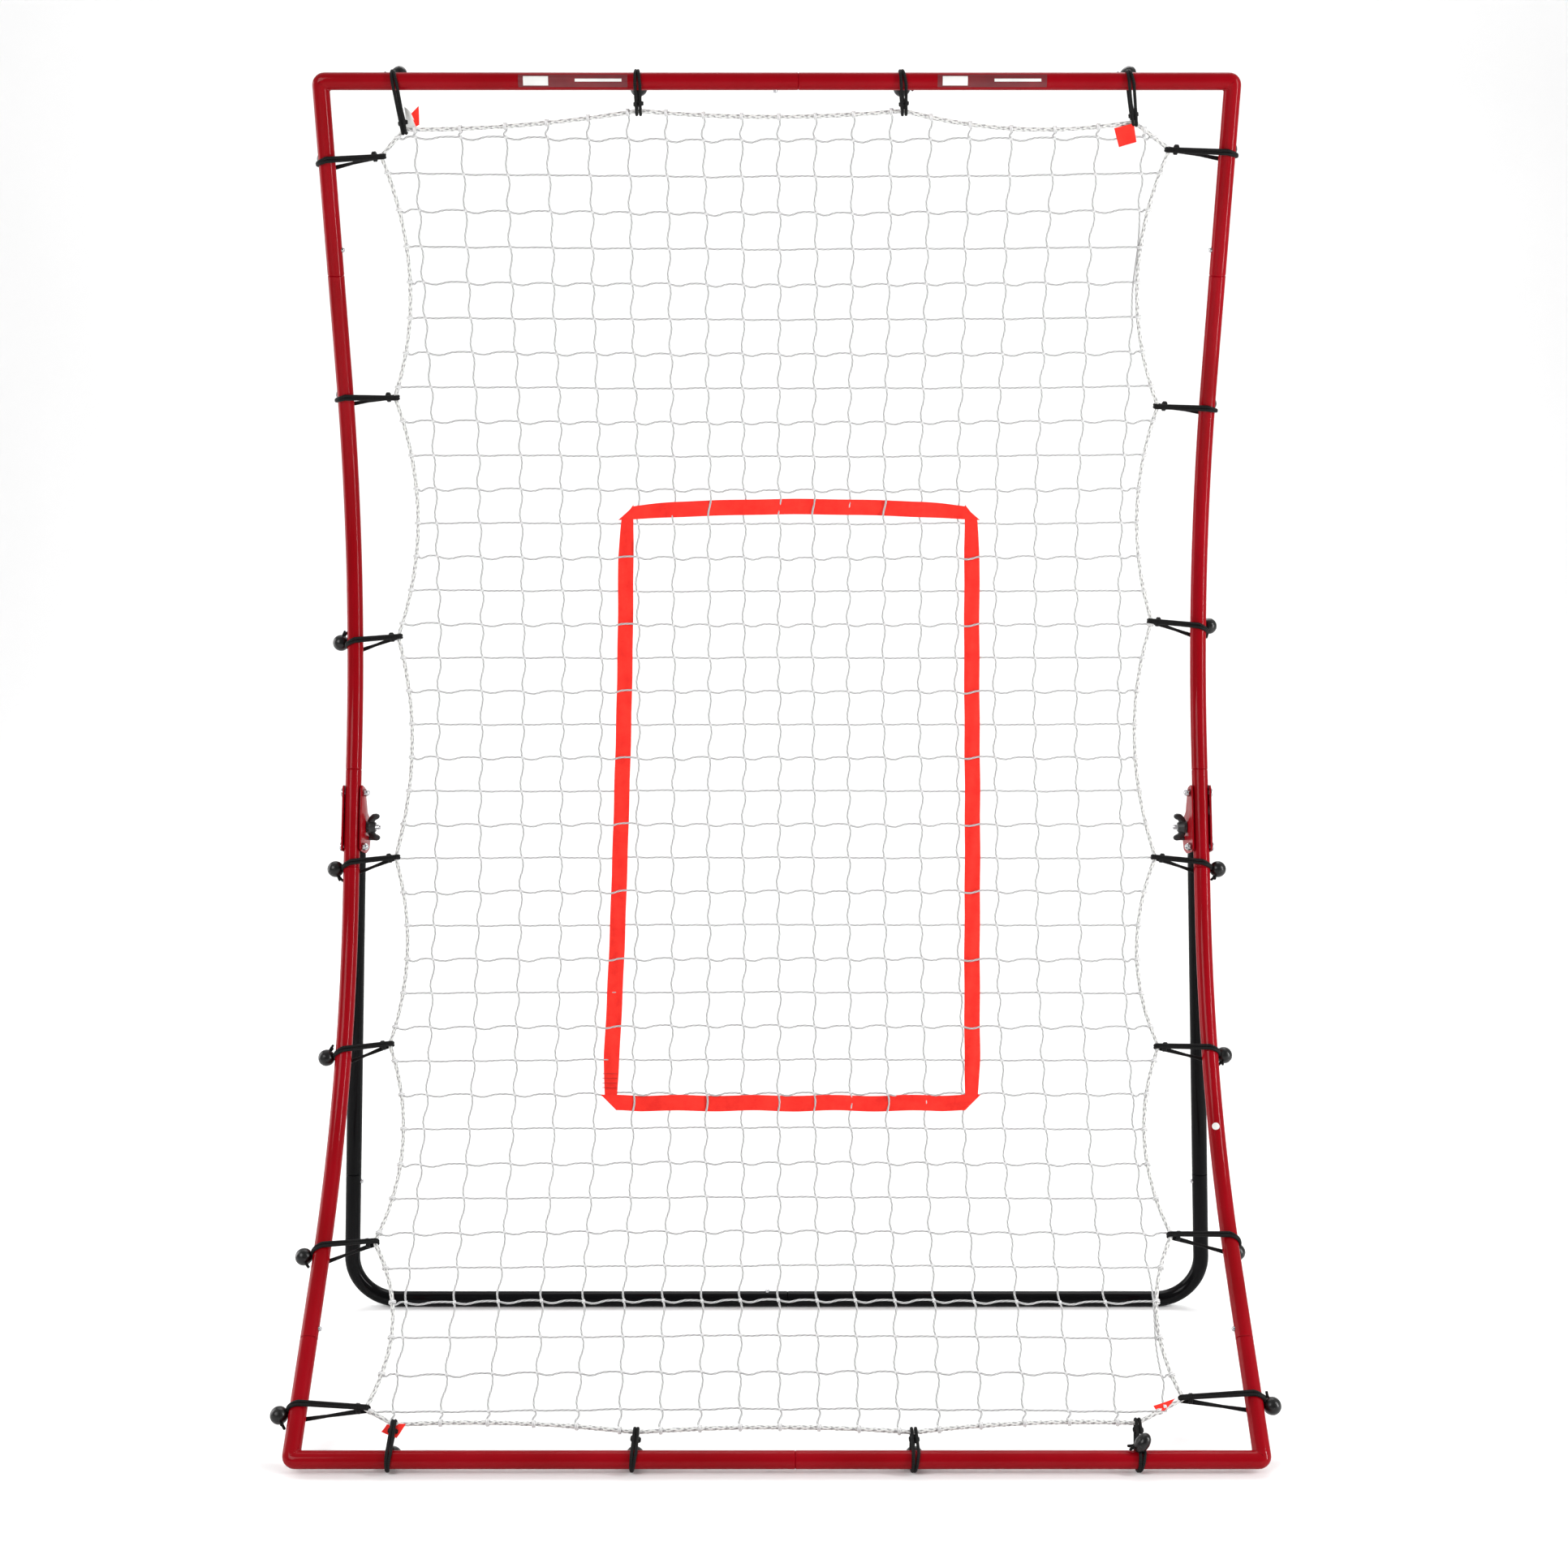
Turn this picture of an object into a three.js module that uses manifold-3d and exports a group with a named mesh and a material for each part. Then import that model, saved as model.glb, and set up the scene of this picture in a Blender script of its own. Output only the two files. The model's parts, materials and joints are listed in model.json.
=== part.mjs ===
// Pitch back rebounder: a folding tubular frame that holds a rebound net on elastic cords.
// Millimetres. +X is the player's right, +Y points away from the player, +Z is up.
import * as THREE from "three";
import { mergeVertices } from "three/addons/utils/BufferGeometryUtils.js";
import Module from "manifold-3d";

const wasm = await Module();
wasm.setup();

// ---------------------------------------------------------------- driving dimensions
const TUBE_R = 10.25; // outside radius of every frame and leg tube
const WALL = 1.2;
const TUBE_SIDES = 12;
const BORE_SIDES = 8;
const HALF_WIDTH = 548.75; // middle plane to the centre of a side tube
const CORD = 3.8; // thickness of an elastic cord
const CORD_CLEAR = 1.1; // room between an elastic cord and the tube inside its loop
const RAIL_Z = TUBE_R + CORD_CLEAR + CORD + 0.2; // the front rail stands on its elastic cords

// One side of the frame in side view: spans of [length, first angle, last angle],
// from the front rail up to the top rail. A span whose angles differ is a circular arc.
const LOWER_ANGLE = 43.3;
const MIDDLE_ANGLE = 76.3;
const UPPER_ANGLE = 105.9;
const SPANS = [
  [243, LOWER_ANGLE, LOWER_ANGLE],
  [463, LOWER_ANGLE, MIDDLE_ANGLE],
  [214, MIDDLE_ANGLE, MIDDLE_ANGLE],
  [470, MIDDLE_ANGLE, UPPER_ANGLE],
  [357, UPPER_ANGLE, UPPER_ANGLE],
];
const SIDE_LENGTH = SPANS.reduce((sum, span) => sum + span[0], 0);

// Seams between the tubes, as lengths along a side
const LOWER_SEAM = 145;
const HINGE_LOW_SEAM = 755;
const HINGE_HIGH_SEAM = 882;
const UPPER_SEAM = 1517;
const TOP_SEAM_X = 26; // the seams of the three cross tubes lie right of the middle
const FRONT_SEAM_X = 21;
const REAR_SEAM_X = 15;

const BORE_R = TUBE_R - WALL;
const SPIGOT_R = 8.5; // the reduced end that enters the next tube
const SPIGOT_BORE_R = SPIGOT_R - WALL;
const SPIGOT = 42;
const SHOULDER = 6; // solid neck behind a spigot
const ARC_STEP = 58; // length of one straight facet along a bent tube

// Hinge bracket and rear leg
const PIVOT_S = 810; // length along the side at the hinge axis
const PIVOT_BACK = 28; // hinge axis behind the centre of the side tube
const REAR_BAR_Y = 513; // centre of the rear bar, behind the front rail
const LEG_HEAD = 16; // leg above the hinge axis
const LEG_STRAIGHT = 40; // leg below the hinge axis before it splays out
const LEG_SEAM = 480;
const LEG_FOOT_X = 582;
const LEG_BEND_R = 60;
const BEND_STEPS = 5;
const CHEEK_THICK = 2.2;
const CHEEK_GAP = 0.4; // between a tube and the cheek beside it
const BOLT_R = 3;
const PIVOT_R = 3.5;
const HOLE_CLEAR = 0.35;
const BOLT_S = { lower: 782, upper: 852 };
const PIN_R = 3;
const PIN_BELOW = 18; // lock pin below the hinge axis, measured along the leg
const PIN_BEHIND = TUBE_R + 0.45 + PIN_R; // it bears on the back of the leg
const SPARE_TURN = 27; // degrees round the hinge axis to the spare hole of the lock pin

// Snap buttons: distances along a tube from the seam to the button
const BUTTON_R = 3;
const BUTTON_OUT = 3.2; // how far a button stands out of its tube
const RAIL_BUTTON = 28;
const SIDE_BUTTON = { upper: 31, lower: 13 };
const LEG_BUTTON = 11;

// Net, edge rope and target
const ROPE_R = 2.5;
const ROPE_STEPS = 2; // straight lengths of rope between two neighbouring places
const NET_THICK = 2;
const SHEET_STEP = 60; // length of one flat strip of the net
const NET_INSET = 12; // edge of the woven sheet inside the rope's centre
const ROPE_MARGIN = 25; // least distance from a rail's centre to the rope
const TARGET = { left: -213, right: 252, bottom: 450, top: 1218, width: 21, thick: 1.6, cut: 20 };

// Elastic cords: [place on the tube, rope place x, rope place s, ball angle, ball shift].
// A place on a side tube is a length along it, a place on a cross tube is its x.
// The ball angle goes round the tube: 0 is outwards, 90 is behind it.
const LEFT_CORDS = [
  [62, -472, 60, 5, -9],
  [261, -487, 270, 5, -9],
  [518, -491, 527, 5, -8],
  [761, -492, 768, 10, -8],
  [1051, -493, 1056, 20, -3],
  [1366, -486, 1364, 75, -3],
  [1657, -482, 1660, 75, -3],
];
const RIGHT_CORDS = [
  [74, 468, 72, 10, -9],
  [275, 479, 279, 60, -9],
  [521, 484, 524, 25, -6],
  [761, 489, 768, 10, -8],
  [1070, 488, 1076, 40, 0],
  [1352, 486, 1353, 75, 0],
  [1666, 478, 1668, 75, 0],
];
const TOP_CORDS = [
  [-458, -452, 1691, 75, 0],
  [-167, -167, 1713, 115, 0],
  [152, 154, 1713, 115, 0],
  [425, 433, 1700, 75, 0],
];
const FRONT_CORDS = [
  [-437, -437, 41, 125, 0],
  [-161, -160, 32, 125, 0],
  [157, 156, 32, 125, 0],
  [412, 412, 43, 235, 0],
];
// Innermost points of the rope between two cords: [x, s]
const LEFT_SCALLOPS = [
  [-453, 167], [-465, 399], [-474, 650], [-474, 934], [-465, 1188], [-458, 1487],
];
const RIGHT_SCALLOPS = [
  [449, 156], [458, 409], [462, 640], [465, 913], [466, 1209], [450, 1497],
];
const TOP_SCALLOPS = [[-302, 1697], [3, 1706], [290, 1692]];
const FRONT_SCALLOPS = [[-312, 43], [3, 38], [290, 43]];

// ---------------------------------------------------------------- finishes
const finish = (color, roughness, metalness) =>
  new THREE.MeshStandardMaterial({ color, roughness, metalness });
const redPaint = () => finish(0x9c1824, 0.3, 0.2);
const blackPaint = () => finish(0x17181a, 0.3, 0.2);
const bareSteel = () => finish(0xc4c6c8, 0.3, 0.9);
const blackPlastic = () => finish(0x141414, 0.5, 0);
const elastic = () => finish(0x101012, 0.8, 0);
const twine = () => finish(0xe4e4e2, 0.8, 0);
const webbing = () => finish(0xe8402f, 0.75, 0);

// ---------------------------------------------------------------- solids
const vec = (x, y, z) => new THREE.Vector3(x, y, z);
const radians = THREE.MathUtils.degToRad;

function toSolid(geometry) {
  const flat = geometry.index ? geometry.toNonIndexed() : geometry;
  const plain = new THREE.BufferGeometry().setAttribute("position", flat.getAttribute("position"));
  const merged = mergeVertices(plain, 1e-4);
  return new wasm.Manifold(
    new wasm.Mesh({
      numProp: 3,
      vertProperties: merged.attributes.position.array,
      triVerts: new Uint32Array(merged.index.array),
    }),
  );
}

function toGeometry(body) {
  const { vertProperties, triVerts } = body.getMesh();
  const geometry = new THREE.BufferGeometry();
  geometry.setAttribute("position", new THREE.BufferAttribute(vertProperties, 3));
  geometry.setIndex(new THREE.BufferAttribute(triVerts, 1));
  geometry.computeVertexNormals();
  return geometry;
}

const joined = (bodies) => bodies.reduce((sum, body) => sum.add(body));
const cutBy = (body, tools) => body.subtract(joined(tools));

const assembly = new THREE.Group();

function addMesh(name, body, material) {
  const mesh = new THREE.Mesh(toGeometry(body), material);
  mesh.name = name;
  assembly.add(mesh);
}

// A round section drawn as a polygon whose flats touch the true circle.
function roundSection(radius, sides = TUBE_SIDES) {
  const reach = radius / Math.cos(Math.PI / sides);
  const corner = (k) => {
    const angle = ((k + 0.5) / sides) * 2 * Math.PI;
    return new THREE.Vector2(reach * Math.cos(angle), reach * Math.sin(angle));
  };
  return new THREE.Shape(Array.from({ length: sides }, (_, k) => corner(k)));
}

// A straight round bar. One flat of its polygon faces the direction across.
function bar(start, along, across, length, radius, sides = sidesFor(radius)) {
  const geometry = new THREE.ExtrudeGeometry(roundSection(radius, sides), {
    depth: length,
    bevelEnabled: false,
  });
  const third = along.clone().cross(across);
  const frame = new THREE.Matrix4().makeBasis(across, third, along).setPosition(start);
  return toSolid(geometry.applyMatrix4(frame));
}

const crossBar = (x0, x1, y, z, radius, sides = 12) =>
  bar(vec(Math.min(x0, x1), y, z), vec(1, 0, 0), vec(0, 1, 0), Math.abs(x1 - x0), radius, sides);

// A path through chosen stations, each with its own tangent.
class StationPath extends THREE.Curve {
  constructor(stations) {
    super();
    this.stations = stations;
  }
  station(u) {
    return this.stations[Math.round(u * (this.stations.length - 1))];
  }
  getPointAt(u, target = new THREE.Vector3()) {
    return target.copy(this.station(u).point);
  }
  getTangentAt(u, target = new THREE.Vector3()) {
    return target.copy(this.station(u).tangent);
  }
}

const sidesFor = (radius) => (radius < SPIGOT_R || radius === BORE_R ? BORE_SIDES : TUBE_SIDES);

const sweepGeometry = (stations, radius) =>
  new THREE.ExtrudeGeometry(roundSection(radius, sidesFor(radius)), {
    steps: stations.length - 1,
    extrudePath: new StationPath(stations),
    bevelEnabled: false,
  });

const sweep = (stations, radius) => toSolid(sweepGeometry(stations, radius));

// Two straight arms at right angles, mitred: the section at the corner is stretched to fit.
function elbow(corner, sideWay, sideLength, railWay, railLength, radius) {
  const turn = railWay.clone().sub(sideWay).normalize();
  const stretch = railWay.clone().add(sideWay).normalize();
  const stations = [
    { point: corner.clone().addScaledVector(sideWay, sideLength), tangent: sideWay.clone().negate() },
    { point: corner, tangent: turn },
    { point: corner.clone().addScaledVector(railWay, railLength), tangent: railWay },
  ];
  const geometry = sweepGeometry(stations, radius);
  const place = geometry.getAttribute("position");
  for (let i = 0; i < place.count; i++) {
    const offset = vec(place.getX(i), place.getY(i), place.getZ(i)).sub(corner);
    if (offset.length() > 2 * radius) continue;
    offset.addScaledVector(stretch, offset.dot(stretch) * (Math.SQRT2 - 1)).add(corner);
    place.setXYZ(i, offset.x, offset.y, offset.z);
  }
  return toSolid(geometry);
}

// ---------------------------------------------------------------- side profile
// The centre of a side tube at length s: y and z, and the angle of the tube there.
function profile(s) {
  let y = 0;
  let z = RAIL_Z;
  let left = s;
  let angle = radians(LOWER_ANGLE);
  for (const [length, first, last] of SPANS) {
    const part = Math.min(left, length);
    const a = radians(first);
    const turn = (radians(last) - a) * (part / length);
    if (turn === 0) {
      y += part * Math.cos(a);
      z += part * Math.sin(a);
    } else {
      const radius = part / turn;
      y += radius * (Math.sin(a + turn) - Math.sin(a));
      z -= radius * (Math.cos(a + turn) - Math.cos(a));
    }
    angle = a + turn;
    left -= part;
    if (left <= 0) break;
  }
  return { y, z, angle };
}

const onSide = (x, s) => {
  const { y, z } = profile(s);
  return vec(x, y, z);
};
const sideDirection = (s) => {
  const { angle } = profile(s);
  return vec(0, Math.cos(angle), Math.sin(angle));
};
// The direction that points backwards out of the frame's surface.
const backwards = (s) => {
  const { angle } = profile(s);
  return vec(0, Math.sin(angle), -Math.cos(angle));
};

// Stations from s0 to s1, close together only where the tube bends.
function sideStations(x, s0, s1) {
  const marks = [s0, s1];
  let start = 0;
  for (const [length, first, last] of SPANS) {
    const count = first === last ? 1 : Math.round(length / ARC_STEP);
    for (let k = 0; k <= count; k++) marks.push(start + (length * k) / count);
    start += length;
  }
  const inside = marks.filter((s) => s >= s0 && s <= s1).sort((a, b) => a - b);
  const spaced = inside.filter((s, i) => i === 0 || s - inside[i - 1] > 1);
  return spaced.map((s) => ({ point: onSide(x, s), tangent: sideDirection(s) }));
}

// ---------------------------------------------------------------- tube ends and holes
// The reduced end of a tube and its bore, from the shoulder outwards.
const spigot = (end, out, across) =>
  bar(end.clone().addScaledVector(out, -1), out, across, SPIGOT + 1, SPIGOT_R);
const spigotBore = (end, out, across) => {
  const start = end.clone().addScaledVector(out, -SHOULDER - 1);
  return bar(start, out, across, SPIGOT + SHOULDER + 2, SPIGOT_BORE_R);
};

// A radial hole through one wall, for a snap button.
const buttonHole = (centre, out, along) =>
  bar(centre.clone().addScaledVector(out, 4), out, along, TUBE_R, BUTTON_R + HOLE_CLEAR);

// ---------------------------------------------------------------- snap buttons
const BUTTON_ROOT = 5; // centre of the tube to the leaf spring
const LEAF = { length: 26, width: 5, thick: 0.8 };

// A steel leaf inside the tube that carries a domed button through both walls.
function snapButton(name, centre, out, along) {
  const top = TUBE_R + BUTTON_OUT;
  const outline = [
    [0, BUTTON_ROOT],
    [BUTTON_R, BUTTON_ROOT],
    [BUTTON_R, top - 1.4],
    [BUTTON_R * 0.72, top - 0.4],
    [0, top],
  ];
  const points = outline.map(([r, h]) => new THREE.Vector2(r, h));
  const stud = new THREE.LatheGeometry(points, 10);
  const leaf = new THREE.BoxGeometry(LEAF.width, LEAF.thick, LEAF.length);
  leaf.translate(0, BUTTON_ROOT + LEAF.thick / 2 - 0.1, LEAF.length / 4);
  const frame = new THREE.Matrix4().makeBasis(out.clone().cross(along), out, along).setPosition(centre);
  const body = toSolid(stud).add(toSolid(leaf));
  addMesh(name, toSolid(toGeometry(body).applyMatrix4(frame)), bareSteel());
}

// ---------------------------------------------------------------- red frame tubes
// A welded corner: half of a cross tube and the end of a side, mitred at the corner.
function cornerTube(name, side, { cornerS, seamS, seamX, railMale, sideMale, railOut, sideButton }) {
  const corner = onSide(side * HALF_WIDTH, cornerS);
  const rail = vec(-side, 0, 0);
  const up = sideDirection(cornerS).multiplyScalar(seamS > cornerS ? 1 : -1);
  const railLength = HALF_WIDTH + (side < 0 ? seamX : -seamX);
  const sideLength = Math.abs(seamS - cornerS);
  const railEnd = corner.clone().addScaledVector(rail, railLength);
  const sideEnd = corner.clone().addScaledVector(up, sideLength);
  const outside = [elbow(corner, up, sideLength, rail, railLength, TUBE_R)];
  const boreTo = (length, male) => (male ? length - SHOULDER : length + 1);
  const sideBore = boreTo(sideLength, sideMale);
  const bores = [elbow(corner, up, sideBore, rail, boreTo(railLength, railMale), BORE_R)];
  if (railMale) {
    outside.push(spigot(railEnd, rail, up));
    bores.push(spigotBore(railEnd, rail, up));
  }
  if (sideMale) {
    outside.push(spigot(sideEnd, up, rail));
    bores.push(spigotBore(sideEnd, up, rail));
  }
  const railButton = vec(seamX - RAIL_BUTTON, corner.y, corner.z);
  bores.push(buttonHole(railButton, railOut, rail));
  bores.push(buttonHole(onSide(side * HALF_WIDTH, sideButton), rail, up));
  addMesh(name, cutBy(joined(outside), bores), redPaint());
}

// A side tube between two seams, with a reduced end wherever it enters its neighbour.
function sideTube(name, side, { from, to, lowMale, highMale, holes }) {
  const x = side * HALF_WIDTH;
  const across = vec(1, 0, 0);
  const low = onSide(x, from);
  const high = onSide(x, to);
  const down = sideDirection(from).negate();
  const up = sideDirection(to);
  const outside = [sweep(sideStations(x, from, to), TUBE_R)];
  const boreFrom = lowMale ? from + SHOULDER : from;
  const boreTo = highMale ? to - SHOULDER : to;
  const bores = [sweep(sideStations(x, boreFrom, boreTo), BORE_R)];
  if (lowMale) {
    outside.push(spigot(low, down, across));
    bores.push(spigotBore(low, down, across));
  } else {
    bores.push(bar(low.clone().addScaledVector(down, -5), down, across, 6, BORE_R));
  }
  if (highMale) {
    outside.push(spigot(high, up, across));
    bores.push(spigotBore(high, up, across));
  } else {
    bores.push(bar(high.clone().addScaledVector(up, -5), up, across, 6, BORE_R));
  }
  addMesh(name, cutBy(joined(outside), bores.concat(holes)), redPaint());
}

const boltHole = (side, s) => {
  const { y, z } = profile(s);
  const x = side * HALF_WIDTH;
  return crossBar(x - TUBE_R - 1, x + TUBE_R + 1, y, z, BOLT_R + HOLE_CLEAR, 8);
};
const sideButtonHole = (side, s) =>
  buttonHole(onSide(side * HALF_WIDTH, s), vec(-side, 0, 0), sideDirection(s));

const TOP_BUTTON_S = UPPER_SEAM + SIDE_BUTTON.upper;
const LOW_BUTTON_S = LOWER_SEAM + SIDE_BUTTON.lower;
const TOP_BUTTON_OUT = sideDirection(SIDE_LENGTH).negate();
const FRONT_BUTTON_OUT = backwards(0);

function redFrame() {
  for (const [word, side] of [["left", -1], ["right", 1]]) {
    const male = side > 0; // the right half of a cross tube enters the left half
    cornerTube(`top_corner_tube_${word}`, side, {
      cornerS: SIDE_LENGTH,
      seamS: UPPER_SEAM,
      seamX: TOP_SEAM_X,
      railMale: male,
      sideMale: false,
      railOut: TOP_BUTTON_OUT,
      sideButton: TOP_BUTTON_S,
    });
    cornerTube(`bottom_corner_tube_${word}`, side, {
      cornerS: 0,
      seamS: LOWER_SEAM,
      seamX: FRONT_SEAM_X,
      railMale: male,
      sideMale: true,
      railOut: FRONT_BUTTON_OUT,
      sideButton: LOW_BUTTON_S,
    });
    sideTube(`lower_side_tube_${word}`, side, {
      from: LOWER_SEAM,
      to: HINGE_LOW_SEAM,
      lowMale: false,
      highMale: true,
      holes: [sideButtonHole(side, LOW_BUTTON_S), boltHole(side, BOLT_S.lower)],
    });
    sideTube(`hinge_tube_${word}`, side, {
      from: HINGE_LOW_SEAM,
      to: HINGE_HIGH_SEAM,
      lowMale: false,
      highMale: false,
      holes: [boltHole(side, BOLT_S.lower), boltHole(side, BOLT_S.upper)],
    });
    sideTube(`upper_side_tube_${word}`, side, {
      from: HINGE_HIGH_SEAM,
      to: UPPER_SEAM,
      lowMale: true,
      highMale: true,
      holes: [sideButtonHole(side, TOP_BUTTON_S), boltHole(side, BOLT_S.upper)],
    });
    const inwards = vec(-side, 0, 0);
    const x = side * HALF_WIDTH;
    for (const [level, s] of [["upper", TOP_BUTTON_S], ["lower", LOW_BUTTON_S]]) {
      snapButton(`snap_button_${level}_${word}`, onSide(x, s), inwards, sideDirection(s).negate());
    }
  }
  const toRight = vec(1, 0, 0);
  const topButton = onSide(TOP_SEAM_X - RAIL_BUTTON, SIDE_LENGTH);
  const frontButton = onSide(FRONT_SEAM_X - RAIL_BUTTON, 0);
  snapButton("snap_button_top_rail", topButton, TOP_BUTTON_OUT, toRight);
  snapButton("snap_button_front_rail", frontButton, FRONT_BUTTON_OUT, toRight);
}

// ---------------------------------------------------------------- rear leg
// The leg lies in a plane that holds X and the line from the hinge axis to the rear bar.
const pivot = onSide(0, PIVOT_S).addScaledVector(backwards(PIVOT_S), PIVOT_BACK);
const rearBar = vec(0, REAR_BAR_Y, TUBE_R);
const legDown = rearBar.clone().sub(pivot).normalize();
const legBack = vec(1, 0, 0).cross(legDown).normalize();
const LEG_LENGTH = rearBar.distanceTo(pivot);

const onLeg = (x, t) => pivot.clone().addScaledVector(legDown, t).setX(x);

// Direction of the splayed part of the leg, and its x at a distance below the hinge axis
const SPLAY = (LEG_FOOT_X - HALF_WIDTH) / (LEG_LENGTH - LEG_STRAIGHT);
const legX = (t) => HALF_WIDTH + Math.max(0, t - LEG_STRAIGHT) * SPLAY;
const splayed = (side) => legDown.clone().addScaledVector(vec(side, 0, 0), SPLAY).normalize();

function legUpper(name, side) {
  const slope = splayed(side);
  const across = slope.clone().cross(legBack).normalize();
  const half = legDown.clone().add(slope).normalize();
  const stations = (t0, t1) => [
    { point: onLeg(side * HALF_WIDTH, t0), tangent: legDown },
    { point: onLeg(side * HALF_WIDTH, LEG_STRAIGHT), tangent: half },
    { point: onLeg(side * legX(t1), t1), tangent: slope },
  ];
  const end = onLeg(side * legX(LEG_SEAM), LEG_SEAM);
  const outside = [sweep(stations(-LEG_HEAD, LEG_SEAM), TUBE_R), spigot(end, slope, across)];
  const x = side * HALF_WIDTH;
  const bores = [
    sweep(stations(-LEG_HEAD - 1, LEG_SEAM - SHOULDER), BORE_R),
    spigotBore(end, slope, across),
    crossBar(x - TUBE_R - 1, x + TUBE_R + 1, pivot.y, pivot.z, PIVOT_R + HOLE_CLEAR, 8),
    buttonHole(legButton(side).centre, legButton(side).out, slope),
  ];
  addMesh(name, cutBy(joined(outside), bores), blackPaint());
}

// The button of a leg sits just below the seam, on the inner side.
function legButton(side) {
  const slope = splayed(side);
  const t = LEG_SEAM + LEG_BUTTON;
  const out = slope.clone().cross(legBack).normalize();
  if (out.x * side > 0) out.negate();
  return { centre: onLeg(side * legX(t), t), out, slope };
}

function legLower(name, side) {
  const slope = splayed(side);
  const inwards = vec(-side, 0, 0);
  const foot = onLeg(side * LEG_FOOT_X, LEG_LENGTH);
  const turn = slope.angleTo(inwards);
  const trim = LEG_BEND_R * Math.tan(turn / 2);
  const bendStart = foot.clone().addScaledVector(slope, -trim);
  const toCentre = inwards.clone().addScaledVector(slope, -inwards.dot(slope)).normalize();
  const centre = bendStart.clone().addScaledVector(toCentre, LEG_BEND_R);
  const bend = (angle) => ({
    point: centre
      .clone()
      .addScaledVector(toCentre, -LEG_BEND_R * Math.cos(angle))
      .addScaledVector(slope, LEG_BEND_R * Math.sin(angle)),
    tangent: slope.clone().multiplyScalar(Math.cos(angle)).addScaledVector(toCentre, Math.sin(angle)),
  });
  const arc = Array.from({ length: BEND_STEPS + 1 }, (_, k) => bend((turn * k) / BEND_STEPS));
  const seam = onLeg(side * legX(LEG_SEAM), LEG_SEAM);
  const overlap = { point: arc.at(-1).point.clone().addScaledVector(inwards, 6), tangent: inwards };
  const stations = (lead) => [
    { point: seam.clone().addScaledVector(slope, -lead), tangent: slope },
    ...arc,
    overlap,
  ];
  const barStart = arc.at(-1).point;
  const barLength = Math.abs(barStart.x - REAR_SEAM_X);
  const barEnd = barStart.clone().addScaledVector(inwards, barLength);
  const down = vec(0, 0, -1);
  const male = side > 0;
  const outside = [sweep(stations(0), TUBE_R), bar(barStart, inwards, down, barLength, TUBE_R)];
  const boreLength = male ? barLength - SHOULDER : barLength + 1;
  const bores = [sweep(stations(1), BORE_R), bar(barStart, inwards, down, boreLength, BORE_R)];
  if (male) {
    outside.push(spigot(barEnd, inwards, down));
    bores.push(spigotBore(barEnd, inwards, down));
  }
  bores.push(buttonHole(legButton(side).centre, legButton(side).out, slope));
  bores.push(buttonHole(vec(REAR_SEAM_X - RAIL_BUTTON, rearBar.y, rearBar.z), vec(0, 0, 1), inwards));
  addMesh(name, cutBy(joined(outside), bores), blackPaint());
}

function rearLeg() {
  for (const [word, side] of [["left", -1], ["right", 1]]) {
    legUpper(`rear_leg_tube_${word}`, side);
    legLower(`rear_foot_tube_${word}`, side);
    const { centre, out, slope } = legButton(side);
    snapButton(`snap_button_leg_${word}`, centre, out, slope.clone().negate());
  }
  const place = vec(REAR_SEAM_X - RAIL_BUTTON, rearBar.y, rearBar.z);
  snapButton("snap_button_rear_bar", place, vec(0, 0, 1), vec(1, 0, 0));
}

// ---------------------------------------------------------------- hinge bracket
const lockPin = onLeg(0, PIN_BELOW).addScaledVector(legBack, PIN_BEHIND);

// Outline of a bracket cheek: [behind the tube's centre, above the hinge axis]
const CHEEK = [
  [-8, -32], [-6, -34], [30, -34], [50, -27], [57, -16], [57, 2], [50, 12], [34, 20],
  [17, 48], [13, 52], [-6, 52], [-8, 50],
];
const WEB = { low: 25, high: 50, behind: 12.8, thick: 2.2 };
const CHEEK_IN = TUBE_R + CHEEK_GAP;
const CHEEK_OUT = CHEEK_IN + CHEEK_THICK;

// Puts a shape drawn as [behind, above] at the hinge of the side whose tube is at x.
function atHinge(geometry, x) {
  const start = onSide(x, PIVOT_S);
  const frame = new THREE.Matrix4().makeBasis(backwards(PIVOT_S), sideDirection(PIVOT_S), vec(1, 0, 0));
  return toSolid(geometry.applyMatrix4(frame.setPosition(start)));
}

function cheek(x, inner, outer) {
  const shape = new THREE.Shape(CHEEK.map(([b, a]) => new THREE.Vector2(b, a)));
  const geometry = new THREE.ExtrudeGeometry(shape, { depth: outer - inner, bevelEnabled: false });
  return atHinge(geometry.translate(0, 0, inner), x);
}

function bracket(name, side) {
  const x = side * HALF_WIDTH;
  const web = new THREE.BoxGeometry(WEB.thick, WEB.high - WEB.low, 2 * CHEEK_OUT - 1);
  web.translate(WEB.behind, (WEB.high + WEB.low) / 2, 0);
  const plates = [cheek(x, CHEEK_IN, CHEEK_OUT), cheek(x, -CHEEK_OUT, -CHEEK_IN), atHinge(web, x)];
  const across = (y, z, radius) => crossBar(x - 20, x + 20, y, z, radius + HOLE_CLEAR, 8);
  const spare = spareHole();
  const holes = [
    across(pivot.y, pivot.z, PIVOT_R),
    across(lockPin.y, lockPin.z, PIN_R),
    across(spare.y, spare.z, PIN_R),
  ];
  for (const s of Object.values(BOLT_S)) holes.push(across(profile(s).y, profile(s).z, BOLT_R));
  addMesh(name, cutBy(joined(plates), holes), redPaint());
}

// A second place for the lock pin, further round the hinge axis.
function spareHole() {
  const arm = lockPin.clone().sub(pivot);
  return pivot.clone().add(arm.applyAxisAngle(vec(1, 0, 0), radians(SPARE_TURN)));
}

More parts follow.
